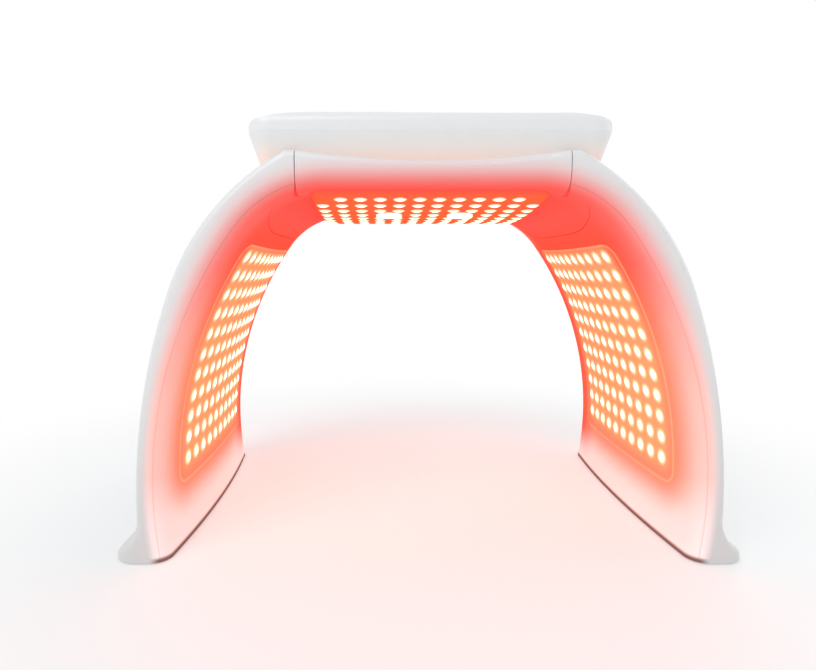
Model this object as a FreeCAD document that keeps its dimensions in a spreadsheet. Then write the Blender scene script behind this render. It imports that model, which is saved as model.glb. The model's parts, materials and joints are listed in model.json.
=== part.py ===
import FreeCAD, Part
import Sketcher
import math
import os

Vector = FreeCAD.Vector
Rotation = FreeCAD.Rotation
Placement = FreeCAD.Placement

doc = FreeCAD.newDocument("led_therapy_dome")
sheet = doc.addObject("Spreadsheet::Sheet", "dims")

# Driving sizes in millimetres and degrees.
DRIVING = [
    ("depth", "256", "front to back of the arch"),
    ("wall", "2.5", "moulded wall"),
    ("seam_gap", "0.6", "gap between a wing and the centre"),
    ("fit_gap", "0.2", "gap round a part set into an opening"),
    ("foot_z", "0.8", "height the pads lift the shell"),
    ("outer_x", "215", "half width of the arch at its widest"),
    ("outer_z", "38", "height of the widest point"),
    ("outer_low_r", "477", "outer arc of the wing"),
    ("outer_high_r", "180", "outer arc of the shoulder"),
    ("outer_join_deg", "20", "where the two outer arcs meet"),
    ("flange_x", "234", "half width over the foot flanges"),
    ("flange_h", "6", "edge height of the flange"),
    ("flange_corner", "16", "plan corner of the flange"),
    ("flare_z", "33", "height where the flare begins"),
    ("base_t", "4", "thickness of the foot base"),
    ("edge_r", "5", "rounding of the outer front and back edges"),
    ("crest_r", "314", "inner arc of the wing at mid depth"),
    ("crest_x", "-124", "centre of the inner wing arc"),
    ("crest_z", "52", "centre height of the inner wing arc"),
    ("haunch_r", "70", "inner arc of the haunch"),
    ("ceiling_z", "266", "underside of the centre at mid depth"),
    ("crown_drop", "6", "rise of the pillow between mid depth and the nose"),
    ("nose_depth", "12.5", "depth of the rounded rim"),
    ("part_line", "12", "distance of the parting line from the crest"),
    ("hinge_x", "112", "hinge axis from the middle"),
    ("hinge_z", "277", "hinge axis height"),
    ("barrel_r", "34", "barrel radius over its middle"),
    ("barrel_taper", "72", "length over which the barrel curves in"),
    ("boss_r", "16.5", "barrel end radius"),
    ("ear_t", "16", "thickness of the hinge ears"),
    ("pin_r", "4", "hinge pin radius"),
    ("pin_gap", "0.05", "running gap of the pin"),
    ("bush_r", "6.5", "bush outer radius"),
    ("pin_cover", "4", "ear wall in front of the pin"),
    ("pin_grip", "20", "pin length held in the barrel"),
    ("block_top", "298", "top of the centre at the seams"),
    ("block_dip", "7", "dip of the centre top in the middle"),
    ("led_row_deg", "3.1", "angle between the wing LED rows"),
    ("led_low_deg", "2.2", "angle of the lowest LED row"),
    ("led_r", "4.6", "lens radius"),
    ("led_proud", "1.4", "lens height over the panel"),
    ("panel_margin", "34.5", "rim beside the wing panel"),
    ("panel_low_deg", "-1.2", "lower edge of the wing panel"),
    ("panel_high_deg", "35.2", "upper edge of the wing panel"),
    ("panel_t", "3", "panel thickness"),
    ("panel_proud", "0.5", "panel height over the shell"),
    ("panel_corner", "12", "panel corner radius"),
    ("board_t", "1.6", "circuit board thickness"),
    ("board_lift", "8", "wing board behind the crest"),
    ("pillow_x", "88", "half width of the ceiling panel"),
    ("pillow_margin", "16", "rim beside the ceiling panel"),
    ("pillow_low_z", "257.5", "lowest point of the ceiling panel"),
    ("pillow_edge_z", "268", "edge height of the ceiling panel underside"),
    ("pillow_top_z", "276.5", "top of the ceiling panel rim"),
    ("pillow_r", "6", "rounding of the ceiling panel"),
    ("pillow_t", "2.5", "ceiling panel wall"),
    ("grid_x", "14.5", "ceiling LED column spacing"),
    ("grid_margin", "8.8", "border of the ceiling LED field"),
    ("nozzle_x", "29", "mist nozzle from the middle"),
    ("nozzle_r", "10.5", "nozzle ring radius"),
    ("nozzle_hole_r", "7", "nozzle opening radius"),
    ("nozzle_proud", "2.4", "nozzle ring height below the panel"),
    ("head_x", "123", "half width of the head at its foot"),
    ("head_margin", "22", "head foot behind the front of the arch"),
    ("head_low_z", "288", "foot of the head"),
    ("head_split_z", "314", "joint of the head shell and cover"),
    ("head_top_z", "327.5", "top of the head"),
    ("head_flare", "9", "widening of the head towards the joint"),
    ("head_corner", "8", "plan corner of the head"),
    ("head_round", "8", "rounding of the head top"),
    ("head_end", "57", "length over which the head top curves down at its ends"),
    ("head_end_r", "222", "radius of the head ends"),
    ("head_side_r", "6", "rounding of the side edges of the head"),
    ("head_gap", "1.6", "gap of the head over the wing shoulder"),
    ("display_x", "66", "display width"),
    ("display_y", "34", "display depth"),
    ("display_at", "-46", "display centre from mid depth"),
    ("display_t", "2", "display window thickness"),
    ("key_r", "7.5", "key radius"),
    ("key_pitch", "26", "key spacing"),
    ("key_at", "-4", "key row from mid depth"),
    ("key_proud", "1.6", "key height over the cover"),
    ("key_travel", "0.8", "key stroke"),
    ("key_stem", "6.5", "key depth below the cover top"),
    ("cap_r", "26", "filler cap radius"),
    ("cap_at", "58", "filler cap centre from mid depth"),
    ("cap_proud", "5", "cap height over the cover"),
    ("neck_r", "18", "filler neck radius"),
    ("inlet_x", "-52", "power inlet from the middle"),
    ("switch_x", "52", "rocker switch from the middle"),
    ("pad_r", "7", "foot pad radius"),
    ("pad_t", "2", "foot pad thickness"),
    ("atomiser_r", "13", "atomiser radius"),
    ("atomiser_h", "12", "atomiser height"),
    ("tube_r", "3", "mist tube radius"),
    ("tube_bend", "12", "bend of the mist tube"),
    ("tank_x", "62", "half width of the water tank"),
    ("tank_front", "24", "front of the water tank from mid depth"),
    ("tank_r", "6", "rounding of the water tank"),
    ("seal_t", "1.2", "seal thickness"),
    ("jack_r", "5", "power inlet radius"),
    ("rocker_r", "4.2", "rocker radius"),
    ("rocker_x", "6.5", "half width of the rocker"),
    ("bezel_x", "10", "half width of the switch bezel"),
    ("bezel_z", "5.6", "half height of the switch bezel"),
    ("screw_x", "87", "head screw from the middle"),
    ("screw_margin", "44", "head screw from the front of the arch"),
    ("screw_reach", "12", "screw length below the head floor"),
    ("screw_head_h", "2", "screw head height"),
    ("display_frame", "4", "border of the display window"),
    ("floor_hole_x", "42", "half width of the opening in the head floor"),
    ("floor_hole_front", "-92", "front of the opening in the head floor"),
    ("floor_hole_back", "-8", "back of the opening in the head floor"),
    ("main_left", "50", "main board side"),
    ("main_right", "98", "main board far side"),
    ("main_front", "-70", "main board front"),
    ("main_back", "10", "main board back"),
    ("vent_pitch", "6", "vent spacing"),
    ("vent_w", "2.4", "vent width"),
    ("lens_gap", "0.1", "gap round a lens"),
    ("screw_r", "1.5", "screw shank radius"),
    ("screw_head_r", "3", "screw head radius"),
    ("overshoot", "10", "reach of a cutting shape past the body"),
    ("tunnel_deep", "70", "depth of the inner space inside its crest"),
    ("haunch_core", "14", "core radius of the haunch space"),
    ("nose_swell", "1.12", "radius of the rounded rim over its depth"),
    ("inner_drop", "37", "inner corner of the wing below the hinge"),
    ("inner_step", "38", "inner corner of the wing beside the hinge"),
    ("inner_rise", "100", "inner corner of the wing over the foot"),
    ("inner_foot", "50", "width of the wing block at the foot"),
    ("split_top_deg", "80", "angle where the parting line ends"),
    ("led_columns", "10", "wing LED columns"),
    ("led_rows", "11", "wing LED rows"),
    ("grid_columns", "12", "ceiling LED columns"),
    ("grid_rows", "13", "ceiling LED rows"),
    ("nozzle_row", "3", "nozzle place in LED rows ahead of mid depth"),
    ("nozzle_border", "1", "space between a nozzle and the next lens"),
    ("nozzle_seat", "4", "nozzle length above the ceiling panel"),
    ("pin_play", "0.5", "end play of the pin"),
    ("seat_gap", "0.06", "gap of a flat lens foot over the curved board"),
    ("board_border", "5", "wing board inside the panel edge"),
    ("board_stand", "1", "ceiling board above its panel"),
    ("board_inset", "2", "ceiling board inside its panel wall"),
    ("centre_ledge", "8", "ledge that carries the ceiling panel"),
    ("ring_wall", "2", "wall of the inlet and of the atomiser seat"),
    ("tube_lift", "6", "mist tube over the head floor"),
    ("tank_margin", "16", "tank inside the back of the head"),
    ("tank_sink", "7", "tank top below the head top"),
    ("plug_gap", "0.5", "gap round the cap plug"),
    ("plug_deep", "2", "cap plug below the head top"),
    ("pad_margin", "33", "foot pad from the front of the arch"),
    ("key_gap", "0.3", "gap round a key"),
    ("key_lip", "1.7", "width of the lip that keeps a key in"),
    ("key_lip_t", "1.2", "thickness of the key lip"),
    ("key_seat", "0.05", "gap of the key lip under the cover"),
    ("boss_proud", "1.5", "rear boss over the head wall"),
    ("boss_deep", "4", "rear boss inside the head wall"),
    ("boss_drop", "3", "rear boss below the head floor"),
    ("jack_proud", "1.2", "inlet over its boss"),
    ("jack_reach", "9", "depth of the inlet socket"),
    ("bezel_proud", "1.4", "switch bezel over its boss"),
    ("bezel_deep", "9", "switch bezel depth"),
    ("bezel_lip", "1", "lip of the switch bezel"),
    ("rocker_gap", "0.3", "gap round the rocker"),
    ("rocker_lip_h", "0.6", "ridge height on the rocker"),
    ("rocker_lip_t", "1", "ridge thickness on the rocker"),
]

# Sizes that follow from the driving ones.
DERIVED = [
    ("half", "=depth / 2"),
    ("half_in", "=half - wall"),
    ("boss_y", "=half - ear_t"),
    ("barrel_flat", "=boss_y - barrel_taper"),
    ("pin_end", "=half - pin_cover"),
    ("pin_root", "=boss_y - pin_grip"),
    ("panel_y", "=half - panel_margin"),
    ("led_pitch", "=2 * panel_y / (led_columns + 1)"),
    ("pillow_y", "=half - pillow_margin"),
    ("grid_y", "=2 * (pillow_y - grid_margin) / (grid_rows - 1)"),
    ("nozzle_y", "=-nozzle_row * grid_y"),
    ("head_y", "=half - head_margin"),
    ("nose_y", "=half - nose_depth"),
    ("nose_r", "=nose_depth * nose_swell"),
    ("nose_r_in", "=(nose_depth - wall) * nose_swell"),
    ("crown_r", "=(nose_y ^ 2 + crown_drop ^ 2) / (2 * crown_drop)"),
    ("past_y", "=half + overshoot"),
    ("bend_deg", "=asin((ceiling_z - haunch_r - crest_z) / (crest_r - haunch_r))"),
    ("haunch_x", "=crest_x + (crest_r - haunch_r) * cos(bend_deg)"),
    ("haunch_z", "=ceiling_z - haunch_r"),
    ("wing_core", "=crest_r - tunnel_deep"),
    ("wing_end", "=crest_r + crown_drop"),
    ("wing_rim", "=wing_end + nose_depth"),
    ("wing_end_in", "=wing_end + wall"),
    ("haunch_end", "=haunch_r + crown_drop"),
    ("haunch_rim", "=haunch_end + nose_depth"),
    ("haunch_end_in", "=haunch_end + wall"),
    ("ceiling_core", "=ceiling_z - tunnel_deep"),
    ("ceiling_end", "=ceiling_z + crown_drop"),
    ("ceiling_rim", "=ceiling_end + nose_depth"),
    ("ceiling_end_in", "=ceiling_end + wall"),
    ("outer_cx", "=outer_x - outer_low_r"),
    ("join_x", "=outer_cx + outer_low_r * cos(outer_join_deg * 1 deg)"),
    ("join_z", "=outer_z + outer_low_r * sin(outer_join_deg * 1 deg)"),
    ("high_x", "=outer_cx + (outer_low_r - outer_high_r) * cos(outer_join_deg * 1 deg)"),
    ("high_z", "=outer_z + (outer_low_r - outer_high_r) * sin(outer_join_deg * 1 deg)"),
    ("flange_z", "=foot_z + flange_h"),
    ("flare_x", "=outer_cx + sqrt(outer_low_r ^ 2 - (flare_z - outer_z) ^ 2)"),
    ("flare_r", "=((flange_x - flare_x) ^ 2 + (flange_z - flare_z) ^ 2) / (2 * (flange_x - flare_x))"),
    ("ear_x", "=high_x + sqrt(outer_high_r ^ 2 - (block_top - high_z) ^ 2)"),
    ("seam_x", "=hinge_x - boss_r"),
    ("boss_low_z", "=hinge_z - boss_r"),
    ("wing_top_z", "=hinge_z - inner_drop"),
    ("wing_mid_x", "=hinge_x + inner_step"),
    ("wing_mid_z", "=foot_z + inner_rise"),
    ("wing_low_x", "=outer_x - inner_foot"),
    ("cavity_z", "=foot_z + base_t"),
    ("cavity_x", "=outer_cx + sqrt((outer_low_r - wall) ^ 2 - (cavity_z - outer_z) ^ 2)"),
    ("outer_low_in", "=outer_low_r - wall"),
    ("outer_high_in", "=outer_high_r - wall"),
    ("join_x_in", "=outer_cx + outer_low_in * cos(outer_join_deg * 1 deg)"),
    ("join_z_in", "=outer_z + outer_low_in * sin(outer_join_deg * 1 deg)"),
    ("cavity_top_x", "=hinge_x + bush_r + wall"),
    ("cavity_top_z", "=high_z + sqrt(outer_high_in ^ 2 - (cavity_top_x - high_x) ^ 2)"),
    ("split_low_z", "=foot_z - overshoot"),
    ("split_r", "=crest_r + part_line"),
    ("split_haunch_r", "=haunch_r + part_line"),
    ("split_low_x", "=crest_x + sqrt(split_r ^ 2 - (split_low_z - crest_z) ^ 2)"),
    ("split_bend_x", "=crest_x + split_r * cos(bend_deg)"),
    ("split_bend_z", "=crest_z + split_r * sin(bend_deg)"),
    ("split_top_x", "=haunch_x + split_haunch_r * cos(split_top_deg * 1 deg)"),
    ("split_top_z", "=haunch_z + split_haunch_r * sin(split_top_deg * 1 deg)"),
    ("taper_y", "=boss_y - barrel_flat"),
    ("taper_r", "=((barrel_r - boss_r) ^ 2 + taper_y ^ 2) / (2 * (barrel_r - boss_r))"),
    ("socket_r", "=barrel_r + seam_gap"),
    ("socket_boss_r", "=boss_r + seam_gap"),
    ("socket_y", "=boss_y + seam_gap"),
    ("socket_taper_r", "=taper_r - seam_gap"),
    ("keep_r", "=socket_r + wall"),
    ("keep_boss_r", "=socket_boss_r + wall"),
    ("keep_y", "=socket_y + wall"),
    ("keep_taper_r", "=socket_taper_r - wall"),
    ("block_x", "=seam_x - seam_gap"),
    ("block_mid_z", "=block_top - block_dip"),
    ("block_r", "=(block_x ^ 2 + block_dip ^ 2) / (2 * block_dip)"),
    ("block_low_z", "=ceiling_z - 3 * overshoot"),
    ("panel_edge", "=crown_r - sqrt(crown_r ^ 2 - panel_y ^ 2)"),
    ("panel_in", "=crest_r - panel_proud + panel_edge"),
    ("panel_out", "=panel_in + panel_t"),
    ("panel_r_in", "=crown_r + panel_proud"),
    ("panel_r_out", "=crown_r + panel_proud - panel_t"),
    ("board_in", "=crest_r + board_lift"),
    ("pillow_arc", "=(pillow_y ^ 2 + (pillow_edge_z - pillow_low_z) ^ 2) / (2 * (pillow_edge_z - pillow_low_z))"),
    ("pillow_in_x", "=pillow_x - pillow_t"),
    ("pillow_in_y", "=pillow_y - pillow_t"),
    ("pillow_in_z", "=pillow_edge_z + pillow_t"),
    ("pillow_in_arc", "=(pillow_in_y ^ 2 + (pillow_edge_z - pillow_low_z) ^ 2) / (2 * (pillow_edge_z - pillow_low_z))"),
    ("head_widen", "=atan(head_flare / (head_split_z - head_low_z))"),
    ("head_wide_x", "=head_x + head_flare"),
    ("head_wide_y", "=head_y + head_flare"),
    ("head_wide_corner", "=head_corner + head_flare"),
    ("cover_top_in", "=head_top_z - wall"),
    ("head_in_x", "=head_x - wall"),
    ("head_in_y", "=head_y - wall"),
    ("head_in_corner", "=head_corner - wall"),
    ("cover_in_x", "=head_wide_x - wall"),
    ("cover_in_y", "=head_wide_y - wall"),
    ("cover_in_corner", "=head_wide_corner - wall"),
    ("head_round_in", "=head_round - wall"),
    ("floor_z", "=block_top + wall"),
    ("clear_r", "=outer_high_r + head_gap"),
    ("clear_z", "=block_top + head_gap"),
    ("clear_x", "=high_x + sqrt(clear_r ^ 2 - (clear_z - high_z) ^ 2)"),
    ("clear_side_x", "=head_wide_x + 2 * overshoot"),
    ("clear_side_z", "=high_z + sqrt(clear_r ^ 2 - (clear_side_x - high_x) ^ 2)"),
    ("clear_low_z", "=ceiling_core"),
    ("core_r", "=barrel_r - wall"),
    ("core_boss_r", "=boss_r + wall"),
    ("core_y", "=pin_root - wall"),
    ("core_taper_r", "=((core_r - core_boss_r) ^ 2 + (core_y - barrel_flat) ^ 2) / (2 * (core_r - core_boss_r))"),
    ("pin_length", "=pin_end - pin_root"),
    ("bush_bore", "=pin_r + pin_gap"),
    ("bush_end", "=pin_end + pin_play"),
    ("bush_length", "=bush_end - socket_y"),
    ("pad_sink", "=pad_t - foot_z"),
    ("pillow_board_z", "=pillow_in_z + board_stand"),
    ("panel_room_y", "=panel_y + fit_gap"),
    ("panel_room_in", "=crest_r - panel_t"),
    ("panel_room_out", "=crest_r + part_line"),
    ("panel_room_corner", "=panel_corner + fit_gap"),
    ("panel_gap_deg", "=fit_gap / crest_r * 180 / pi"),
    ("board_y", "=panel_y - board_border"),
    ("board_out", "=board_in + board_t"),
    ("pillow_room_z", "=pillow_top_z + overshoot"),
    ("pillow_room_r", "=pillow_r - pillow_t"),
    ("room_x", "=pillow_x - centre_ledge"),
    ("room_y", "=pillow_y - centre_ledge"),
    ("atomiser_top", "=atomiser_z + atomiser_h"),
    ("atomiser_bore", "=nozzle_hole_r - ring_wall"),
    ("tube_z", "=floor_z + tube_lift"),
    ("tube_turn_z", "=tube_z - tube_bend"),
    ("tube_turn_y", "=nozzle_y + tube_bend"),
    ("tank_back", "=head_y - tank_margin"),
    ("tank_top", "=head_top_z - tank_sink"),
    ("neck_bore", "=neck_r - wall"),
    ("seal_top", "=head_top_z + seal_t"),
    ("cap_top", "=seal_top + cap_proud"),
    ("plug_r", "=neck_bore - plug_gap"),
    ("plug_z", "=head_top_z - plug_deep"),
    ("cover_neck_r", "=neck_r + fit_gap"),
    ("head_flat_x", "=head_wide_x - head_end"),
    ("head_side_z", "=head_top_z - head_end_r + sqrt(head_end_r ^ 2 - head_end ^ 2)"),
    ("head_end_r_in", "=head_end_r - wall"),
    ("head_side_r_in", "=head_side_r - wall"),
    ("head_side_x_in", "=head_wide_x - wall"),
    ("head_side_z_in", "=head_top_z - head_end_r + sqrt(head_end_r_in ^ 2 - (head_end - wall) ^ 2)"),
    ("cover_low_z", "=head_split_z - overshoot"),
    ("atomiser_hole_r", "=atomiser_r + fit_gap"),
    ("lens_seat", "=board_in - seat_gap"),
    ("pad_y", "=half - pad_margin"),
    ("screw_y", "=half - screw_margin"),
    ("pillow_plate_x", "=pillow_in_x - board_inset"),
    ("pillow_plate_y", "=pillow_in_y - board_inset"),
    ("window_z", "=head_top_z - display_t"),
    ("window_board_z", "=window_z - board_t"),
    ("key_top", "=head_top_z + key_proud"),
    ("key_low", "=head_top_z - key_stem"),
    ("key_hole_r", "=key_r + key_gap"),
    ("key_lip_r", "=key_r + key_lip"),
    ("key_lip_top", "=cover_top_in - key_seat"),
    ("key_lip_low", "=key_lip_top - key_lip_t"),
    ("key_board_top", "=key_low - key_travel - fit_gap"),
    ("key_board_low", "=key_board_top - board_t"),
    ("boss_face", "=head_wide_y + boss_proud"),
    ("boss_root", "=head_in_y - boss_deep"),
    ("boss_low", "=floor_z - boss_drop"),
    ("boss_high", "=head_split_z - seam_gap"),
    ("boss_mid", "=(boss_low + boss_high) / 2"),
    ("jack_end", "=boss_face + jack_proud"),
    ("jack_start", "=boss_root - boss_deep"),
    ("jack_length", "=jack_end - jack_start"),
    ("jack_hole", "=jack_r - ring_wall"),
    ("jack_deep", "=jack_end - jack_reach"),
    ("bezel_face", "=boss_face + bezel_proud"),
    ("bezel_root", "=boss_face - bezel_deep"),
    ("rocker_bore", "=rocker_r + rocker_gap"),
    ("rocker_y", "=bezel_face - rocker_r / 2"),
    ("screw_low", "=floor_z - screw_reach"),
    ("head_plan_x", "=head_x - head_corner"),
    ("head_plan_y", "=head_y - head_corner"),
    ("head_in_plan_x", "=head_in_x - head_in_corner"),
    ("head_in_plan_y", "=head_in_y - head_in_corner"),
    ("cover_plan_x", "=head_wide_x - head_wide_corner"),
    ("cover_plan_y", "=head_wide_y - head_wide_corner"),
    ("cover_in_plan_x", "=cover_in_x - cover_in_corner"),
    ("cover_in_plan_y", "=cover_in_y - cover_in_corner"),
    ("window_x", "=display_x / 2"),
    ("window_front", "=display_at - display_y / 2"),
    ("window_back", "=display_at + display_y / 2"),
    ("glass_x", "=window_x - display_frame"),
    ("glass_front", "=window_front + display_frame"),
    ("glass_back", "=window_back - display_frame"),
    ("post_x", "=key_pitch * 2.5"),
    ("key_board_x", "=post_x + screw_head_r"),
    ("key_board_front", "=key_at - key_lip_r"),
    ("key_board_back", "=key_at + key_lip_r"),
    ("main_board_z", "=floor_z + board_t"),
    ("tank_room_x", "=tank_x - wall"),
    ("tank_room_front", "=tank_front + wall"),
    ("tank_room_back", "=tank_back - wall"),
    ("tank_room_low", "=floor_z + wall"),
    ("tank_room_high", "=tank_top - wall"),
    ("lens_bore", "=led_r + lens_gap"),
    ("pillow_board_top", "=pillow_board_z + board_t"),
    ("nozzle_z", "=pillow_low_z + nozzle_y ^ 2 / (2 * pillow_arc)"),
    ("nozzle_low_z", "=nozzle_z - nozzle_proud"),
    ("nozzle_h", "=nozzle_proud + pillow_t + nozzle_seat"),
    ("atomiser_z", "=nozzle_low_z + nozzle_h"),
]

KEYS = ("power", "minus", "light", "plus", "mist")
DERIVED += [("key_x_%d" % place, "=key_pitch * (%d)" % (place - 2)) for place in range(len(KEYS))]

for row, entry in enumerate(DRIVING + DERIVED, start=1):
    sheet.set("A%d" % row, entry[0])
    sheet.set("B%d" % row, entry[1])
    sheet.setAlias("B%d" % row, entry[0])
    if len(entry) == 3:
        sheet.set("C%d" % row, entry[2])
doc.recompute()

# Sketch frames: across the arch (X to the right, Z up), along the depth, and flat.
ACROSS = Rotation(Vector(1, 0, 0), 90)
ALONG = Rotation(Vector(0, 1, 0), Vector(0, 0, 1), Vector(1, 0, 0), "XYZ")
FLAT = Rotation()


def size(term):
    if not isinstance(term, str):
        return float(term)
    if term.startswith("-"):
        return -size(term[1:])
    number = sheet.get(term)
    return float(getattr(number, "Value", number))


def formula(term):
    if term.startswith("-"):
        return "-dims." + term[1:]
    return "dims." + term


def count(term):
    return int(size(term))


def bind(item, **terms):
    for name, term in terms.items():
        item.setExpression(name.replace("__", "."), formula(term))
    return item


def outline(name, steps, turn):
    """Closed sketch; a step is a corner, with the radius and side of the arc that leaves it."""
    sketch = doc.addObject("Sketcher::SketchObject", name)
    corners = [Vector(size(step[0]), size(step[1]), 0) for step in steps]
    ends = []
    for index, step in enumerate(steps):
        start = corners[index]
        stop = corners[(index + 1) % len(steps)]
        if len(step) == 2:
            sketch.addGeometry(Part.LineSegment(start, stop), False)
            ends.append((1, 2))
            continue
        radius = size(step[2])
        side = step[3]
        chord = stop - start
        normal = Vector(-chord.y, chord.x, 0).normalize()
        reach = math.sqrt(radius ** 2 - (chord.Length / 2) ** 2)
        centre = (start + stop) / 2 + normal * reach * side
        first, last = (start, stop) if side > 0 else (stop, start)
        angles = [math.atan2(point.y - centre.y, point.x - centre.x) for point in (first, last)]
        if angles[1] < angles[0]:
            angles[1] += 2 * math.pi
        circle = Part.Circle(centre, Vector(0, 0, 1), radius)
        sketch.addGeometry(Part.ArcOfCircle(circle, angles[0], angles[1]), False)
        ends.append((1, 2) if side > 0 else (2, 1))
    for index in range(len(steps)):
        follow = (index + 1) % len(steps)
        sketch.addConstraint(Sketcher.Constraint("Coincident", index, ends[index][1], follow, ends[follow][0]))
    for index, step in enumerate(steps):
        corner = corners[index]
        for kind, term, number in (("DistanceX", step[0], corner.x), ("DistanceY", step[1], corner.y)):
            rule = sketch.addConstraint(Sketcher.Constraint(kind, -1, 1, index, ends[index][0], number))
            if isinstance(term, str):
                sketch.setExpression("Constraints[%d]" % rule, formula(term))
        if len(step) == 4:
            rule = sketch.addConstraint(Sketcher.Constraint("Radius", index, size(step[2])))
            sketch.setExpression("Constraints[%d]" % rule, formula(step[2]))
    sketch.Placement = Placement(Vector(), turn)
    return sketch


def prism(name, sketch, direction, length, both=True):
    item = doc.addObject("Part::Extrusion", name)
    item.Base = sketch
    item.DirMode = "Custom"
    item.Dir = direction
    item.Solid = True
    item.Symmetric = both
    return bind(item, LengthFwd=length)


def cut(name, base, *tools):
    for index, tool in enumerate(tools):
        item = doc.addObject("Part::Cut", name if index == len(tools) - 1 else name + "_cut")
        item.Base = base
        item.Tool = tool
        base = item
    return base


def join(name, *items):
    item = doc.addObject("Part::MultiFuse", name)
    item.Shapes = list(items)
    return item


def common(name, *items):
    item = doc.addObject("Part::MultiCommon", name)
    item.Shapes = list(items)
    return item


def mirror(name, source):
    item = doc.addObject("Part::Mirroring", name)
    item.Source = source
    item.Normal = Vector(1, 0, 0)
    item.Base = Vector()
    return item


def rounded(name, base, radius, chosen):
    """Rounds the edges of a feature that the test picks out."""
    doc.recompute()
    item = doc.addObject("Part::Fillet", name)
    item.Base = base
    reach = size(radius)
    item.Edges = [(place, reach, reach) for place, edge in enumerate(base.Shape.Edges, start=1) if chosen(edge)]
    return item


def solid(name, shape):
    item = doc.addObject("Part::Feature", name)
    item.Shape = shape
    item.Placement = Placement()
    return item


def tunnel(name, crest_end, rim, core, deep, nose, turn):
    """Outline of the space under the arch in depth: pillow crown with a rounded nose at both rims."""
    return outline(name, [
        (core, "-past_y"),
        (rim, "-past_y"),
        (rim, "-" + deep, nose, -1),
        (crest_end, "-nose_y", "crown_r", -1),
        (crest_end, "nose_y", nose, -1),
        (rim, deep),
        (rim, "past_y"),
        (core, "past_y"),
    ], turn)


def sweep(name, sketch, axis_x, axis_z, start, span):
    """Turns a radial outline about an axis that runs front to back."""
    sketch.Placement = Placement(Vector(size(axis_x), 0, size(axis_z)), Rotation(Vector(0, -1, 0), start))
    bind(sketch, Placement__Base__x=axis_x, Placement__Base__z=axis_z)
    item = doc.addObject("Part::Revolution", name)
    item.Source = sketch
    item.Axis = Vector(0, -1, 0)
    item.Angle = span
    item.Solid = True
    return bind(item, Base__x=axis_x, Base__z=axis_z)


# Space under the arch, and the same space grown by the wall for the hollow of the shells.
BEND = size("bend_deg")
# The wing space turns on below its axis and the haunch space starts before the bend, in degrees.
BELOW = 30
OVERLAP = 8
spaces = []
for grade, deep, nose in (("", "half", "nose_r"), ("_in", "half_in", "nose_r_in")):
    wing_side = tunnel("wing_side" + grade, "wing_end" + grade, "wing_rim", "wing_core", deep, nose, FLAT)
    wing_space = sweep("wing_space" + grade, wing_side, "crest_x", "crest_z", -BELOW, BEND + BELOW)
    wing_space.setExpression("Angle", "dims.bend_deg + %d deg" % BELOW)
    bend_side = tunnel("bend_side" + grade, "haunch_end" + grade, "haunch_rim", "haunch_core", deep, nose, FLAT)
    bend_space = sweep("bend_space" + grade, bend_side, "haunch_x", "haunch_z", BEND - OVERLAP, 90 - BEND + OVERLAP)
    spaces.append((wing_space, bend_space))
(wing_space, bend_space), (wing_space_in, bend_space_in) = spaces

ceiling_side = outline("ceiling_side", [
    ("-past_y", "ceiling_core"),
    ("past_y", "ceiling_core"),
    ("past_y", "ceiling_rim"),
    ("half", "ceiling_rim", "nose_r", -1),
    ("nose_y", "ceiling_end", "crown_r", -1),
    ("-nose_y", "ceiling_end", "nose_r", -1),
    ("-half", "ceiling_rim"),
    ("-past_y", "ceiling_rim"),
], ALONG)
ceiling_space = prism("ceiling_space", ceiling_side, Vector(1, 0, 0), "haunch_x")
ceiling_space.setExpression("LengthFwd", "2 * dims.haunch_x")


def barrel(name, middle, end, reach, taper):
    """Round hinge barrel: straight over the middle, curving in to a small end face."""
    side = outline(name + "_side", [
        (0, "-" + reach),
        (end, "-" + reach, taper, 1),
        (middle, "-barrel_flat"),
        (middle, "barrel_flat", taper, 1),
        (end, reach),
        (0, reach),
    ], FLAT)
    return sweep(name, side, "hinge_x", "hinge_z", 0, 360)


barrel_body = barrel("barrel_body", "barrel_r", "boss_r", "boss_y", "taper_r")
socket = barrel("socket", "socket_r", "socket_boss_r", "socket_y", "socket_taper_r")
socket_keep = barrel("socket_keep", "keep_r", "keep_boss_r", "keep_y", "keep_taper_r")

# Right wing: the outline of the arch from the foot flange up to the hinge ear.
wing_face = outline("wing_face", [
    ("wing_low_x", "foot_z"),
    ("flange_x", "foot_z"),
    ("flange_x", "flange_z", "flare_r", -1),
    ("flare_x", "flare_z", "outer_low_r", 1),
    ("join_x", "join_z", "outer_high_r", 1),
    ("ear_x", "block_top"),
    ("seam_x", "block_top"),
    ("seam_x", "hinge_z", "boss_r", 1),
    ("hinge_x", "boss_low_z"),
    ("hinge_x", "wing_top_z"),
    ("wing_mid_x", "wing_mid_z"),
], ACROSS)
wing_block = prism("wing_block", wing_face, Vector(0, 1, 0), "depth")

FRONT = size("half")


def flange_corner(edge):
    box = edge.BoundBox
    return box.XMin > size("flange_x") - 0.1 and box.YLength < 0.1


def outer_rim(edge):
    """Front and back edges along the outside of the arch, from the seam down to the flare."""
    middle = edge.valueAt((edge.FirstParameter + edge.LastParameter) / 2)
    if edge.BoundBox.YLength > 0.1 or abs(middle.y) < FRONT - 0.1:
        return False
    from_shoulder = math.hypot(middle.x - size("high_x"), middle.z - size("high_z"))
    on_top = middle.z > size("block_top") - 0.1
    return on_top or (middle.z > size("flange_z") and from_shoulder > size("outer_high_r") - 1)


wing_corners = rounded("wing_corners", wing_block, "flange_corner", flange_corner)
wing_soft = rounded("wing_soft", wing_corners, "edge_r", outer_rim)
ear_room = doc.addObject("Part::Box", "ear_room")
bind(ear_room, Length="boss_r", Height="barrel_r")
ear_room.setExpression("Width", "2 * dims.socket_y")
bind(ear_room, Placement__Base__x="seam_x", Placement__Base__y="-socket_y", Placement__Base__z="hinge_z")
wing_body = cut("wing_body", wing_soft, wing_space, bend_space, socket, ear_room)

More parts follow.
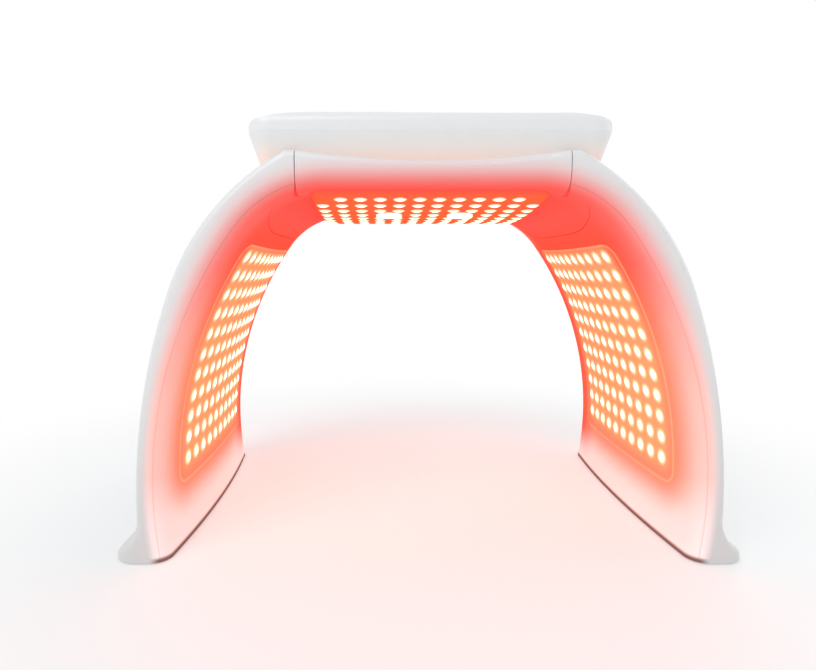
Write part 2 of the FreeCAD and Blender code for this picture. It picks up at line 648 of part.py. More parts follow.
cavity_face = outline("cavity_face", [
    ("wing_low_x", "cavity_z"),
    ("cavity_x", "cavity_z", "outer_low_in", 1),
    ("join_x_in", "join_z_in", "outer_high_in", 1),
    ("cavity_top_x", "cavity_top_z"),
    ("cavity_top_x", "wing_top_z"),
    ("wing_mid_x", "wing_mid_z"),
], ACROSS)
cavity_block = prism("cavity_block", cavity_face, Vector(0, 1, 0), "depth")
cavity_block.setExpression("LengthFwd", "2 * dims.half_in")
wing_cavity = cut("wing_cavity", cavity_block, wing_space_in, bend_space_in, socket_keep)
wing_hollow = cut("wing_hollow", wing_body, wing_cavity)

split_face = outline("split_face", [
    ("split_low_x", "split_low_z", "split_r", 1),
    ("split_bend_x", "split_bend_z", "split_haunch_r", 1),
    ("split_top_x", "split_top_z"),
    ("split_top_x", "haunch_z"),
    ("haunch_x", "split_low_z"),
], ACROSS)
split_block = prism("split_block", split_face, Vector(0, 1, 0), "depth")
split_block.setExpression("LengthFwd", "2 * dims.past_y")


def spot_axis(name, radius, length, x, y, z, turn):
    """Round bar from a named place, along Z or turned to run along Y."""
    item = doc.addObject("Part::Cylinder", name)
    item.Placement = Placement(Vector(size(x), size(y), size(z)), turn)
    for axis, term in zip("xyz", (x, y, z)):
        if isinstance(term, str):
            item.setExpression("Placement.Base." + axis, formula(term))
    return bind(item, Radius=radius, Height=length)


BACKWARD = Rotation(Vector(1, 0, 0), -90)
FORWARD = Rotation(Vector(1, 0, 0), 90)
UP = Rotation()

# Hinge bushes in the wing ears and the pins they turn on.
bush_rings = []
bush_holes = []
pins = []
for word, turn, sign in (("front", FORWARD, "-"), ("back", BACKWARD, "")):
    hole = spot_axis("bush_hole_" + word, "bush_r", "bush_length", "hinge_x", sign + "socket_y", "hinge_z", turn)
    bore = spot_axis("bush_bore_" + word, "bush_bore", "bush_length", "hinge_x", sign + "socket_y", "hinge_z", turn)
    bush_holes.append(hole)
    bush_rings.append(cut("bush_ring_" + word, hole, bore))
    pins.append(spot_axis("pin_" + word, "pin_r", "pin_length", "hinge_x", sign + "pin_root", "hinge_z", turn))

# Foot pads let into the base of the outer shell.
PAD_ROWS = ("-pad_y", 0, "pad_y")
pads = []
for place, along in enumerate(PAD_ROWS):
    pad = spot_axis("pad_%d" % place, "pad_r", "pad_t", "outer_x", along, 0, UP)
    pad.setExpression("Placement.Base.x", "dims.outer_x - dims.pad_r")
    pads.append(pad)


def group(name, items):
    item = doc.addObject("Part::Compound", name)
    item.Links = list(items)
    return item


# LED panel of the wing: a curved plate let into the inner shell, a board behind it, lenses between.
PANEL_SPAN = size("panel_high_deg") - size("panel_low_deg")
CROWN = size("crown_r")


def pillow(along):
    """How far the pillow of the inner face stands back from its crest."""
    return CROWN - math.sqrt(CROWN ** 2 - along ** 2)


panel_side = outline("panel_side", [
    ("panel_out", "-panel_y", "panel_r_out", -1),
    ("panel_out", "panel_y"),
    ("panel_in", "panel_y", "panel_r_in", 1),
    ("panel_in", "-panel_y"),
], FLAT)
panel_sweep = sweep("panel_sweep", panel_side, "crest_x", "crest_z", size("panel_low_deg"), PANEL_SPAN)


def panel_corner(edge):
    straight = isinstance(edge.Curve, Part.Line)
    return straight and edge.BoundBox.YLength < 0.01


panel_plate = rounded("panel_plate", panel_sweep, "panel_corner", panel_corner)
room_side = outline("room_side", [
    ("panel_room_in", "-panel_room_y"),
    ("panel_room_out", "-panel_room_y"),
    ("panel_room_out", "panel_room_y"),
    ("panel_room_in", "panel_room_y"),
], FLAT)
room_sweep = sweep("room_sweep", room_side, "crest_x", "crest_z", size("panel_low_deg") - size("panel_gap_deg"),
                   PANEL_SPAN + 2 * size("panel_gap_deg"))
panel_room = rounded("panel_room", room_sweep, "panel_room_corner", panel_corner)
board_side = outline("board_side", [
    ("board_in", "-board_y"),
    ("board_out", "-board_y"),
    ("board_out", "board_y"),
    ("board_in", "board_y"),
], FLAT)
wing_board = sweep("led_board_right", board_side, "crest_x", "crest_z", size("panel_low_deg"), PANEL_SPAN)


def lens(radius, length, dome):
    """One lens standing on its board: a round stem with a domed tip."""
    foot = Vector(0, 0, 0)
    side = Vector(radius, 0, 0)
    shoulder = Vector(radius, 0, length)
    tip = Vector(0, 0, length + dome)
    swell = (radius ** 2 + dome ** 2) / (2 * dome)
    lean = math.asin(radius / swell) / 2
    between = Vector(swell * math.sin(lean), 0, length + dome - swell + swell * math.cos(lean))
    edges = [
        Part.LineSegment(foot, side).toShape(),
        Part.LineSegment(side, shoulder).toShape(),
        Part.Arc(shoulder, between, tip).toShape(),
        Part.LineSegment(tip, foot).toShape(),
    ]
    return Part.Face(Part.Wire(edges)).revolve(Vector(), Vector(0, 0, 1), 360)


def toward_head(degrees, along):
    """Place on the wing board, facing the wing axis."""
    angle = math.radians(degrees)
    out = size("lens_seat")
    spot = Vector(size("crest_x") + out * math.cos(angle), along, size("crest_z") + out * math.sin(angle))
    inward = Vector(-math.cos(angle), 0, -math.sin(angle))
    return Placement(spot, Rotation(Vector(0, 0, 1), inward))


lenses = []
lens_holes = []
for column in range(count("led_columns")):
    along = (column - (size("led_columns") - 1) / 2) * size("led_pitch")
    stem = size("lens_seat") - size("crest_r") - pillow(along) + size("panel_proud")
    one_lens = lens(size("led_r"), stem, size("led_proud"))
    one_hole = Part.makeCylinder(size("lens_bore"), stem + size("overshoot"))
    for row in range(count("led_rows")):
        place = toward_head(size("led_low_deg") + row * size("led_row_deg"), along)
        lenses.append(one_lens.transformed(place.toMatrix()))
        lens_holes.append(one_hole.transformed(place.toMatrix()))
wing_lenses = solid("led_lenses_right", Part.makeCompound(lenses))
wing_holes = solid("wing_lens_holes", Part.makeCompound(lens_holes))
wing_panel = cut("led_panel_right", panel_plate, wing_holes)

wing_inner = common("wing_inner_block", wing_hollow, split_block)
wing_inner_shell = cut("inner_shell_right", wing_inner, panel_room)
wing_outer_shell = cut("outer_shell_right", wing_hollow, split_block, *bush_holes, *pads)
bushes = group("hinge_bushes_right", bush_rings)
foot_pads = group("foot_pads_right", pads)

# Centre: a block between the wings with the two barrels, trimmed to the arch, hollow and open above.
block_face = outline("block_face", [
    ("-block_x", "block_low_z"),
    ("block_x", "block_low_z"),
    ("block_x", "block_top", "block_r", -1),
    ("-block_x", "block_top"),
], ACROSS)
block_solid = prism("block_solid", block_face, Vector(0, 1, 0), "depth")


def block_rim(edge):
    middle = edge.valueAt((edge.FirstParameter + edge.LastParameter) / 2)
    return edge.BoundBox.YLength < 0.1 and abs(middle.y) > FRONT - 0.1 and middle.z > size("hinge_z") + 1 \
        and edge.BoundBox.XLength > 1


block_soft = rounded("block_soft", block_solid, "edge_r", block_rim)


def shoulder(name, radius):
    """Round bar whose top is the shoulder of the arch."""
    return spot_axis(name, radius, "depth", "high_x", "-half", "high_z", BACKWARD)


# Space below the head: the top of the centre, and a clearance over the wing shoulders.
under_head = outline("under_head", [
    ("-clear_side_x", "clear_low_z"),
    ("clear_side_x", "clear_low_z"),
    ("clear_side_x", "clear_side_z", "clear_r", 1),
    ("clear_x", "clear_z"),
    ("block_x", "clear_z"),
    ("block_x", "block_top", "block_r", -1),
    ("-block_x", "block_top"),
    ("-block_x", "clear_z"),
    ("-clear_x", "clear_z", "clear_r", 1),
    ("-clear_side_x", "clear_side_z"),
], ACROSS)
under_block = prism("under_block", under_head, Vector(0, 1, 0), "depth")
under_block.setExpression("LengthFwd", "2 * dims.past_y")
shoulder_bar = shoulder("shoulder_bar", "outer_high_r")
shoulder_bar_in = shoulder("shoulder_bar_in", "outer_high_in")
above_block = doc.addObject("Part::Box", "above_block")
bind(above_block, Length="hinge_x", Width="depth", Height="barrel_r")
bind(above_block, Placement__Base__y="-half", Placement__Base__z="block_top")
barrel_arch = common("barrel_arch", barrel_body, shoulder_bar, under_block)
barrel_right = cut("barrel_right", barrel_arch, above_block)
barrel_left = mirror("barrel_left", barrel_right)
barrel_core = barrel("barrel_core", "core_r", "core_boss_r", "core_y", "core_taper_r")
barrel_core_arch = common("barrel_core_arch", barrel_core, shoulder_bar_in)
core_right = cut("core_right", barrel_core_arch, bend_space_in)
core_left = mirror("core_left", core_right)
bend_space_left = mirror("bend_space_left", bend_space)

pillow_side = outline("pillow_side", [
    ("-pillow_y", "pillow_top_z"),
    ("-pillow_y", "pillow_edge_z", "pillow_arc", 1),
    ("pillow_y", "pillow_edge_z"),
    ("pillow_y", "pillow_top_z"),
], ALONG)
pillow_block = prism("pillow_block", pillow_side, Vector(1, 0, 0), "pillow_x")
pillow_block.setExpression("LengthFwd", "2 * dims.pillow_x")


def pillow_edge(edge):
    return edge.BoundBox.ZMin < size("pillow_top_z") - 0.1


pillow_soft = rounded("pillow_soft", pillow_block, "pillow_r", pillow_edge)
pillow_room_side = outline("pillow_room_side", [
    ("-pillow_in_y", "pillow_room_z"),
    ("-pillow_in_y", "pillow_in_z", "pillow_in_arc", 1),
    ("pillow_in_y", "pillow_in_z"),
    ("pillow_in_y", "pillow_room_z"),
], ALONG)
pillow_room_block = prism("pillow_room_block", pillow_room_side, Vector(1, 0, 0), "pillow_in_x")
pillow_room_block.setExpression("LengthFwd", "2 * dims.pillow_in_x")


def pillow_room_edge(edge):
    return edge.BoundBox.ZMin < size("pillow_room_z") - 0.1


pillow_room = rounded("pillow_room", pillow_room_block, "pillow_room_r", pillow_room_edge)


def block(name, x0, x1, y0, y1, z0, z1):
    """Straight-sided block from its six limits."""
    item = doc.addObject("Part::Box", name)
    for key, low, high in (("Length", x0, x1), ("Width", y0, y1), ("Height", z0, z1)):
        item.setExpression(key, "%s - (%s)" % (limit(high), limit(low)))
    item.setExpression("Placement.Base.x", limit(x0))
    item.setExpression("Placement.Base.y", limit(y0))
    item.setExpression("Placement.Base.z", limit(z0))
    return item


def limit(term):
    return formula(term) if isinstance(term, str) else "%g" % term


centre_room = block("centre_room", "-room_x", "room_x", "-room_y", "room_y", "ceiling_z", "head_top_z")
pins_left = [mirror(pin.Name + "_left", pin) for pin in pins]
hinge_pins = group("hinge_pins", pins + pins_left)


def rounded_plan(name, reach_x, reach_y, corner):
    """Flat rounded rectangle about the middle."""
    flat_x, flat_y = name + "_x", name + "_y"
    return outline(name, [
        ("-" + flat_x, "-" + reach_y),
        (flat_x, "-" + reach_y, corner, 1),
        (reach_x, "-" + flat_y),
        (reach_x, flat_y, corner, 1),
        (flat_x, reach_y),
        ("-" + flat_x, reach_y, corner, 1),
        ("-" + reach_x, flat_y),
        ("-" + reach_x, "-" + flat_y, corner, 1),
    ], FLAT)


def raised(name, sketch, low, high, taper=None):
    """Lifts a flat outline to a height and fills it up to another."""
    bind(sketch, Placement__Base__z=low)
    item = prism(name, sketch, Vector(0, 0, 1), high, both=False)
    item.setExpression("LengthFwd", "dims.%s - dims.%s" % (high, low))
    if taper:
        bind(item, TaperAngle=taper)
    return item


# Head: a flared lower shell that rests on the centre and a rounded cover.
head_plan = rounded_plan("head_plan", "head_x", "head_y", "head_corner")
head_flared = raised("head_flared", head_plan, "head_low_z", "head_split_z", "head_widen")
head_in_plan = rounded_plan("head_in_plan", "head_in_x", "head_in_y", "head_in_corner")
head_in_flared = raised("head_in_flared", head_in_plan, "head_low_z", "head_split_z", "head_widen")
above_floor = block("above_floor", "-clear_side_x", "clear_side_x", "-past_y", "past_y", "floor_z", "head_top_z")
head_room = common("head_room", head_in_flared, above_floor)
floor_hole = block("floor_hole", "-floor_hole_x", "floor_hole_x", "floor_hole_front", "floor_hole_back",
                   "head_low_z", "head_split_z")

# Rear bosses for the power inlet and the switch, and a row of vents between them.
inlet_boss = block("inlet_boss", "inlet_x", "inlet_x", "boss_root", "boss_face", "boss_low", "boss_high")
switch_boss = block("switch_boss", "switch_x", "switch_x", "boss_root", "boss_face", "boss_low", "boss_high")
for boss, middle in ((inlet_boss, "inlet_x"), (switch_boss, "switch_x")):
    boss.setExpression("Length", "2 * (dims.bezel_x + dims.wall)")
    boss.setExpression("Placement.Base.x", "dims.%s - dims.bezel_x - dims.wall" % middle)
VENT_SPREAD = 4
vents = []
for place in range(-VENT_SPREAD, VENT_SPREAD + 1):
    slot = block("vent_%d" % (place + VENT_SPREAD), 0, "vent_w", "boss_root", "boss_face", "floor_z", "boss_high")
    slot.setExpression("Placement.Base.x", "%d * dims.vent_pitch - dims.vent_w / 2" % place)
    vents.append(slot)
vent_slots = group("vent_slots", vents)

jack_hole = spot_axis("jack_hole", "jack_r", "jack_length", "inlet_x", "jack_start", "boss_mid", BACKWARD)
jack_bore = spot_axis("jack_bore", "jack_hole", "jack_length", "inlet_x", "jack_deep", "boss_mid", BACKWARD)
jack_pin = spot_axis("jack_pin", "screw_r", "jack_length", "inlet_x", "jack_start", "boss_mid", BACKWARD)
jack_pin.setExpression("Height", "dims.jack_length - dims.jack_proud")
jack_socket = cut("jack_socket", jack_hole, jack_bore)
power_inlet = join("power_inlet", jack_socket, jack_pin)

bezel_plate = block("bezel_plate", 0, 1, "boss_face", "bezel_face", "boss_low", "boss_high")
bezel_body = block("bezel_body", 0, 1, "bezel_root", "boss_face", "boss_low", "boss_high")
for piece, inset in ((bezel_plate, "0"), (bezel_body, "dims.bezel_lip")):
    piece.setExpression("Length", "2 * (dims.bezel_x - %s)" % inset)
    piece.setExpression("Placement.Base.x", "dims.switch_x - dims.bezel_x + %s" % inset)
    piece.setExpression("Height", "2 * (dims.bezel_z - %s)" % inset)
    piece.setExpression("Placement.Base.z", "dims.boss_mid - dims.bezel_z + %s" % inset)
SIDEWAYS = Rotation(Vector(0, 1, 0), 90)
rocker_bar = spot_axis("rocker_bar", "rocker_r", "rocker_x", "switch_x", "rocker_y", "boss_mid", SIDEWAYS)
rocker_hole = spot_axis("rocker_hole", "rocker_bore", "rocker_x", "switch_x", "rocker_y", "boss_mid", SIDEWAYS)
for bar, extra in ((rocker_bar, "0"), (rocker_hole, "dims.rocker_gap")):
    bar.setExpression("Height", "2 * (dims.rocker_x + %s)" % extra)
    bar.setExpression("Placement.Base.x", "dims.switch_x - dims.rocker_x - %s" % extra)
rocker_lip = block("rocker_lip", 0, 1, "rocker_y", "jack_end", "boss_mid", "boss_high")
rocker_lip.setExpression("Length", "2 * dims.rocker_x")
rocker_lip.setExpression("Placement.Base.x", "dims.switch_x - dims.rocker_x")
rocker_lip.setExpression("Width", "dims.rocker_r + dims.rocker_lip_h")
rocker_lip.setExpression("Height", "dims.rocker_lip_t")
rocker_lip.setExpression("Placement.Base.z", "dims.boss_mid - dims.rocker_lip_t / 2")
rocker_switch = join("rocker_switch", rocker_bar, rocker_lip)
bezel_block = join("bezel_block", bezel_plate, bezel_body)
switch_bezel = cut("switch_bezel", bezel_block, rocker_hole)

# Screws that hold the head down on the centre.
screws = []
screw_shanks = []
for across in ("-screw_x", "screw_x"):
    for along in ("-screw_y", "screw_y"):
        place = "%d" % len(screws)
        shank = spot_axis("screw_shank_" + place, "screw_r", "screw_reach", across, along, "screw_low", UP)
        cap = spot_axis("screw_cap_" + place, "screw_head_r", "screw_head_h", across, along, "floor_z", UP)
        screw_shanks.append(shank)
        screws.append(join("screw_" + place, shank, cap))
head_screws = group("head_screws", screws)
shank_group = group("shank_group", screw_shanks)

head_bosses = join("head_bosses", head_flared, inlet_boss, switch_boss)
head_shell = cut("head_shell", head_bosses, head_room, under_block, floor_hole, vent_slots, jack_hole, bezel_body,
                 rocker_hole, shank_group)
centre_solid = join("centre_solid", block_soft, barrel_right, barrel_left)
centre_body = cut("centre_body", centre_solid, ceiling_space, bend_space, bend_space_left, pillow_soft, centre_room,
                  core_right, core_left, hinge_pins, shank_group)

# Ceiling panel with its board, lenses, nozzles and atomisers.
nozzles = []
atomisers = []
nozzle_bars = []
atomiser_bars = []
for word, across in (("left", "-nozzle_x"), ("right", "nozzle_x")):
    bar = spot_axis("nozzle_bar_" + word, "nozzle_r", "nozzle_h", across, "nozzle_y", "nozzle_low_z", UP)
    bore = spot_axis("nozzle_bore_" + word, "nozzle_hole_r", "nozzle_h", across, "nozzle_y", "nozzle_low_z", UP)
    nozzle_bars.append(bar)
    nozzles.append(cut("nozzle_ring_" + word, bar, bore))
    body = spot_axis("atomiser_bar_" + word, "atomiser_r", "atomiser_h", across, "nozzle_y", "atomiser_z", UP)
    room = spot_axis("atomiser_room_" + word, "atomiser_bore", "atomiser_h", across, "nozzle_y", "atomiser_z", UP)
    room.setExpression("Height", "dims.atomiser_h - dims.wall")
    atomiser_bars.append(spot_axis("atomiser_hole_" + word, "atomiser_hole_r", "atomiser_h", across, "nozzle_y",
                                   "atomiser_z", UP))
    atomisers.append(cut("atomiser_" + word, body, room))


def underside(along):
    """Height of the ceiling panel underside at a place in depth."""
    arc = size("pillow_arc")
    return size("pillow_low_z") + arc - math.sqrt(arc ** 2 - along ** 2)


grid_lenses = []
grid_holes = []
NOZZLE_ROOM = size("nozzle_r") + size("led_r") + size("nozzle_border")
LAST_COLUMN = count("grid_columns") - 1
LAST_ROW = count("grid_rows") - 1
for row in range(count("grid_rows")):
    along = (row - LAST_ROW / 2) * size("grid_y")
    stem = size("pillow_board_z") - underside(along)
    one_lens = lens(size("led_r"), stem, size("led_proud"))
    one_hole = Part.makeCylinder(size("lens_bore"), stem + size("overshoot"))
    for column in range(count("grid_columns")):
        across = (column - LAST_COLUMN / 2) * size("grid_x")
        if row in (0, LAST_ROW) and column in (0, LAST_COLUMN):
            continue
        if math.hypot(abs(across) - size("nozzle_x"), along - size("nozzle_y")) < NOZZLE_ROOM:
            continue
        place = Placement(Vector(across, along, size("pillow_board_z")), Rotation(Vector(1, 0, 0), 180))
        grid_lenses.append(one_lens.transformed(place.toMatrix()))
        grid_holes.append(one_hole.transformed(place.toMatrix()))
ceiling_lenses = solid("ceiling_led_lenses", Part.makeCompound(grid_lenses))
ceiling_holes = solid("ceiling_lens_holes", Part.makeCompound(grid_holes))
ceiling_panel = cut("ceiling_led_panel", pillow_soft, pillow_room, ceiling_holes, *nozzle_bars)
board_block = block("board_block", "-pillow_plate_x", "pillow_plate_x", "-pillow_plate_y", "pillow_plate_y",
                    "pillow_board_z", "pillow_board_top")


def board_corner(edge):
    return edge.BoundBox.ZLength > 1


board_plate = rounded("board_plate", board_block, "pillow_room_r", board_corner)
ceiling_board = cut("ceiling_led_board", board_plate, *atomiser_bars)

# Water tank with its neck, seal and cap, and the tubes down to the atomisers.
tank_block = block("tank_block", "-tank_x", "tank_x", "tank_front", "tank_back", "floor_z", "tank_top")


def tank_edge(edge):
    return edge.BoundBox.ZMax > size("floor_z") + 1


tank_soft = rounded("tank_soft", tank_block, "tank_r", tank_edge)
tank_room = block("tank_room", "-tank_room_x", "tank_room_x", "tank_room_front", "tank_room_back",
                  "tank_room_low", "tank_room_high")
tank_room_soft = rounded("tank_room_soft", tank_room, "pillow_room_r", lambda edge: True)
neck = spot_axis("neck", "neck_r", "cap_proud", 0, "cap_at", "tank_top", UP)
neck.setExpression("Height", "dims.head_top_z - dims.tank_top")
neck_hole = spot_axis("neck_hole", "neck_bore", "cap_proud", 0, "cap_at", "tank_top", UP)
neck_hole.setExpression("Height", "dims.head_top_z - dims.tank_top + 2 * dims.wall")
neck_hole.setExpression("Placement.Base.z", "dims.tank_top - 2 * dims.wall")
tank_necked = join("tank_necked", tank_soft, neck)
seal_disc = spot_axis("seal_disc", "neck_r", "seal_t", 0, "cap_at", "head_top_z", UP)
seal_hole = spot_axis("seal_hole", "neck_bore", "seal_t", 0, "cap_at", "head_top_z", UP)
tank_seal = cut("tank_seal", seal_disc, seal_hole)
cap_disc = spot_axis("cap_disc", "cap_r", "cap_proud", 0, "cap_at", "seal_top", UP)
cap_soft = rounded("cap_soft", cap_disc, "key_proud",
                   lambda edge: edge.BoundBox.ZMin > size("seal_top") + 1 and edge.BoundBox.ZLength < 0.1)
plug = spot_axis("plug", "plug_r", "cap_proud", 0, "cap_at", "plug_z", UP)
plug.setExpression("Height", "dims.seal_top - dims.plug_z")
tank_cap = join("tank_cap", cap_soft, plug)

tubes = []
for word, across in (("left", "-nozzle_x"), ("right", "nozzle_x")):
    drop = spot_axis("tube_drop_" + word, "tube_r", "tube_r", across, "nozzle_y", "atomiser_top", UP)
    drop.setExpression("Height", "dims.tube_turn_z - dims.atomiser_top")
    run = spot_axis("tube_run_" + word, "tube_r", "tube_r", across, "tube_turn_y", "tube_z", BACKWARD)
    run.setExpression("Height", "dims.tank_front - dims.tube_turn_y")
    elbow = doc.addObject("Part::Torus", "tube_elbow_" + word)
    bind(elbow, Radius1="tube_bend", Radius2="tube_r")
    elbow.Angle3 = 90
    elbow.Placement = Placement(Vector(size(across), size("tube_turn_y"), size("tube_turn_z")),
                                Rotation(Vector(0, -1, 0), Vector(0, 0, 1), Vector(-1, 0, 0), "XYZ"))
    bind(elbow, Placement__Base__x=across, Placement__Base__y="tube_turn_y", Placement__Base__z="tube_turn_z")
    tubes.append(join("mist_tube_" + word, drop, run, elbow))
water_tank = cut("water_tank", tank_necked, tank_room_soft, neck_hole)

# Cover with the display, the keys and the filler opening.
cover_plan = rounded_plan("cover_plan", "head_wide_x", "head_wide_y", "head_wide_corner")
cover_block = raised("cover_block", cover_plan, "head_split_z", "head_top_z")
cover_in_plan = rounded_plan("cover_in_plan", "cover_in_x", "cover_in_y", "cover_in_corner")
cover_in_block = raised("cover_in_block", cover_in_plan, "head_split_z", "cover_top_in")


def top_edges(height):
    return lambda edge: edge.BoundBox.ZMin > height - 0.1


def crown(name, side_x, side_z, radius, top, corner):
    """Across the head: a flat top that curves down at both ends, with rounded side edges."""
    face = outline(name + "_face", [
        ("-" + side_x, "cover_low_z"),
        (side_x, "cover_low_z"),
        (side_x, side_z, radius, 1),
        ("head_flat_x", top),
        ("-head_flat_x", top, radius, 1),
        ("-" + side_x, side_z),
    ], ACROSS)
    block_shape = prism(name + "_block", face, Vector(0, 1, 0), "depth")

    def side_edge(edge):
        box = edge.BoundBox
        at_side = max(abs(box.XMin), abs(box.XMax)) > size(side_x) - 0.1
        return at_side and box.YLength > 1 and abs(box.ZMin - size(side_z)) < 0.1

    return rounded(name, block_shape, corner, side_edge)


cover_round = rounded("cover_round", cover_block, "head_round", top_edges(size("head_top_z")))
cover_crown = crown("cover_crown", "head_wide_x", "head_side_z", "head_end_r", "head_top_z",
                    "head_side_r")
cover_soft = common("cover_soft", cover_round, cover_crown)
cover_round_in = rounded("cover_round_in", cover_in_block, "head_round_in", top_edges(size("cover_top_in")))
cover_crown_in = crown("cover_crown_in", "head_side_x_in", "head_side_z_in", "head_end_r_in", "cover_top_in",
                       "head_side_r_in")
cover_room = common("cover_room", cover_round_in, cover_crown_in)
window_block = block("window_block", "-window_x", "window_x", "window_front", "window_back", "window_z", "head_top_z")
window_hole = block("window_hole", "-window_x", "window_x", "window_front", "window_back", "cover_top_in",
                    "head_top_z")


def upright(edge):
    box = edge.BoundBox
    return box.ZLength > 1 and box.XLength < 0.1 and box.YLength < 0.1


display_window = rounded("display_window", window_block, "pillow_room_r", upright)
window_cut = rounded("window_cut", window_hole, "pillow_room_r", upright)
display_board = block("display_board", "-glass_x", "glass_x", "glass_front", "glass_back", "window_board_z",
                      "window_z")

keys = []
key_holes = []
for place, word in enumerate(KEYS):
    across = "key_x_%d" % place
    stem = spot_axis("key_stem_" + word, "key_r", "key_stem", across, "key_at", "key_low", UP)
    stem.setExpression("Height", "dims.key_top - dims.key_low")
    stem_soft = rounded("key_soft_" + word, stem, "fit_gap",
                        lambda edge: edge.BoundBox.ZMin > size("key_top") - 0.1)
    lip = spot_axis("key_lip_" + word, "key_lip_r", "key_stem", across, "key_at", "key_lip_low", UP)
    lip.setExpression("Height", "dims.key_lip_top - dims.key_lip_low")
    keys.append(join("key_" + word, stem_soft, lip))
    key_holes.append(spot_axis("key_hole_" + word, "key_hole_r", "wall", across, "key_at", "cover_top_in", UP))
key_hole_group = group("key_hole_group", key_holes)
posts = []
for across in ("-post_x", "post_x"):
    post = spot_axis("post_%d" % len(posts), "screw_head_r", "wall", across, "key_at", "key_board_top", UP)
    post.setExpression("Height", "dims.cover_top_in - dims.key_board_top")
    posts.append(post)
key_board = block("key_board", "-key_board_x", "key_board_x", "key_board_front", "key_board_back",
                  "key_board_low", "key_board_top")
cover_neck = spot_axis("cover_neck", "cover_neck_r", "wall", 0, "cap_at", "cover_top_in", UP)
cover_shell = cut("cover_shell", cover_soft, cover_room, window_cut, key_hole_group, cover_neck)
head_cover = join("head_cover", cover_shell, *posts)
main_board = block("main_board", "main_left", "main_right", "main_front", "main_back", "floor_z", "main_board_z")

NODES = [
    centre_body, ceiling_panel, ceiling_board, ceiling_lenses, *nozzles, *atomisers, *tubes, hinge_pins,
    head_shell, head_cover, head_screws, water_tank, tank_seal, tank_cap, display_window, display_board,
    *keys, key_board, main_board, power_inlet, switch_bezel, rocker_switch,
]
WING = [wing_outer_shell, wing_inner_shell, wing_panel, wing_board, wing_lenses, bushes, foot_pads]
NODES += WING
NODES += [mirror(item.Name.replace("right", "left"), item) for item in WING]
doc.recompute()

faults = [item.Name for item in doc.Objects if "Invalid" in item.State or "Error" in item.State]
for item in NODES:
    if item.Shape.isNull() or not item.Shape.isValid():
        faults.append(item.Name)
if faults:
    raise RuntimeError("not built: " + ", ".join(faults))

os.makedirs("parts", exist_ok=True)
for item in NODES:
    item.Label = item.Name
    item.Shape.exportStep("parts/%s.step" % item.Name)
    print(item.Name, len(item.Shape.Solids), round(item.Shape.Volume))
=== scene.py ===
# %% [markdown]
# # Light therapy dome
# The dome is a white arch that stands over a face: a fixed centre with a rounded head on top, and two
# wings that hang from round hinge barrels. The inside is lined with small domed lamps that are lit, so
# most of the work here is in the finishes. The measured solids come in first, and everything else is set
# against them.

# %% Load the measured solids
import json
import math
import bmesh
import bpy
from mathutils import Matrix, Vector


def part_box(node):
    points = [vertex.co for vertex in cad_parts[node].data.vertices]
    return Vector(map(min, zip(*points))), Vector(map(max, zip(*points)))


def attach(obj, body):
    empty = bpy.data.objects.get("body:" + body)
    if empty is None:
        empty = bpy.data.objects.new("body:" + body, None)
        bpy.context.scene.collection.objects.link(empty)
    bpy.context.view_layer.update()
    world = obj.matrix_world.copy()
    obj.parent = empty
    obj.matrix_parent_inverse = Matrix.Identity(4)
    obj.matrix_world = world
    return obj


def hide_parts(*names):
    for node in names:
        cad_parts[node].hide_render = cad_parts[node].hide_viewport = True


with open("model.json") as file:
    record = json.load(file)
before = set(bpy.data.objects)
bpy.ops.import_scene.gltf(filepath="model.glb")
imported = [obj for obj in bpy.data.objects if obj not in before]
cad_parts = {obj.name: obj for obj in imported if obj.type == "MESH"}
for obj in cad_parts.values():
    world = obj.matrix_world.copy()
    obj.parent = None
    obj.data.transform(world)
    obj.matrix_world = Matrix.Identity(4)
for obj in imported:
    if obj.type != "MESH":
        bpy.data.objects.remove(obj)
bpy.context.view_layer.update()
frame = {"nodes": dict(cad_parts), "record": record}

nodes = frame["nodes"]

# %% [markdown]
# ## Camera
# The photograph was taken from just in front of the dome, a little left of its middle, with a wide lens.
# The width of the near rims against the far rims fixes the distance, and the lens follows from the width
# in the frame. A small tilt down and a small shift of the lens bring the head and the feet to their
# places in the picture.

# %% Camera
LENS_MM = 25.54
SENSOR_MM = 36.0
LENS_SHIFT = (0.0343, -0.0159)
NEAR_LIMIT = 0.01
CAMERA_AT = (-0.0364, -0.533, 0.219)
PITCH_DOWN = 5.64
camera_data = bpy.data.cameras.new("photo_camera")
camera_data.lens = LENS_MM
camera_data.sensor_width = SENSOR_MM
camera_data.shift_x = LENS_SHIFT[0]
camera_data.shift_y = LENS_SHIFT[1]
camera_data.clip_start = NEAR_LIMIT
camera = bpy.data.objects.new("photo_camera", camera_data)
camera.location = CAMERA_AT
camera.rotation_euler = (math.radians(90 - PITCH_DOWN), 0, 0)
bpy.context.scene.collection.objects.link(camera)
bpy.context.scene.camera = camera
bpy.context.scene.view_settings.view_transform = "Standard"
print("camera", CAMERA_AT, "lens", LENS_MM)

# %% [markdown]
# ## Room
# A dome like this is shown in a white studio. A curved paper backdrop could be modelled, but a flat floor
# that fades into a white world gives the same picture. The world also gives an even light. Three broad
# lamps shape the head and the shoulders: one from the upper left in front, one from behind and a weak one
# from the right. Close to the dome the floor is nearly white paint, so it keeps the soft shadow of the
# feet and a little of their glow.

# %% Helpers for node trees
MIX_INPUTS = (0, 6, 7)
MIX_RESULT = 2


def start_finish(name):
    """New material with its shader; returns the material, its tree and the shader node."""
    material = bpy.data.materials.new(name)
    material.use_nodes = True
    tree = material.node_tree
    return material, tree, tree.nodes["Principled BSDF"]


def feed(tree, socket, source):
    """Gives a socket a number, a colour or the output of another node."""
    if isinstance(source, bpy.types.NodeSocket):
        tree.links.new(source, socket)
    else:
        socket.default_value = source


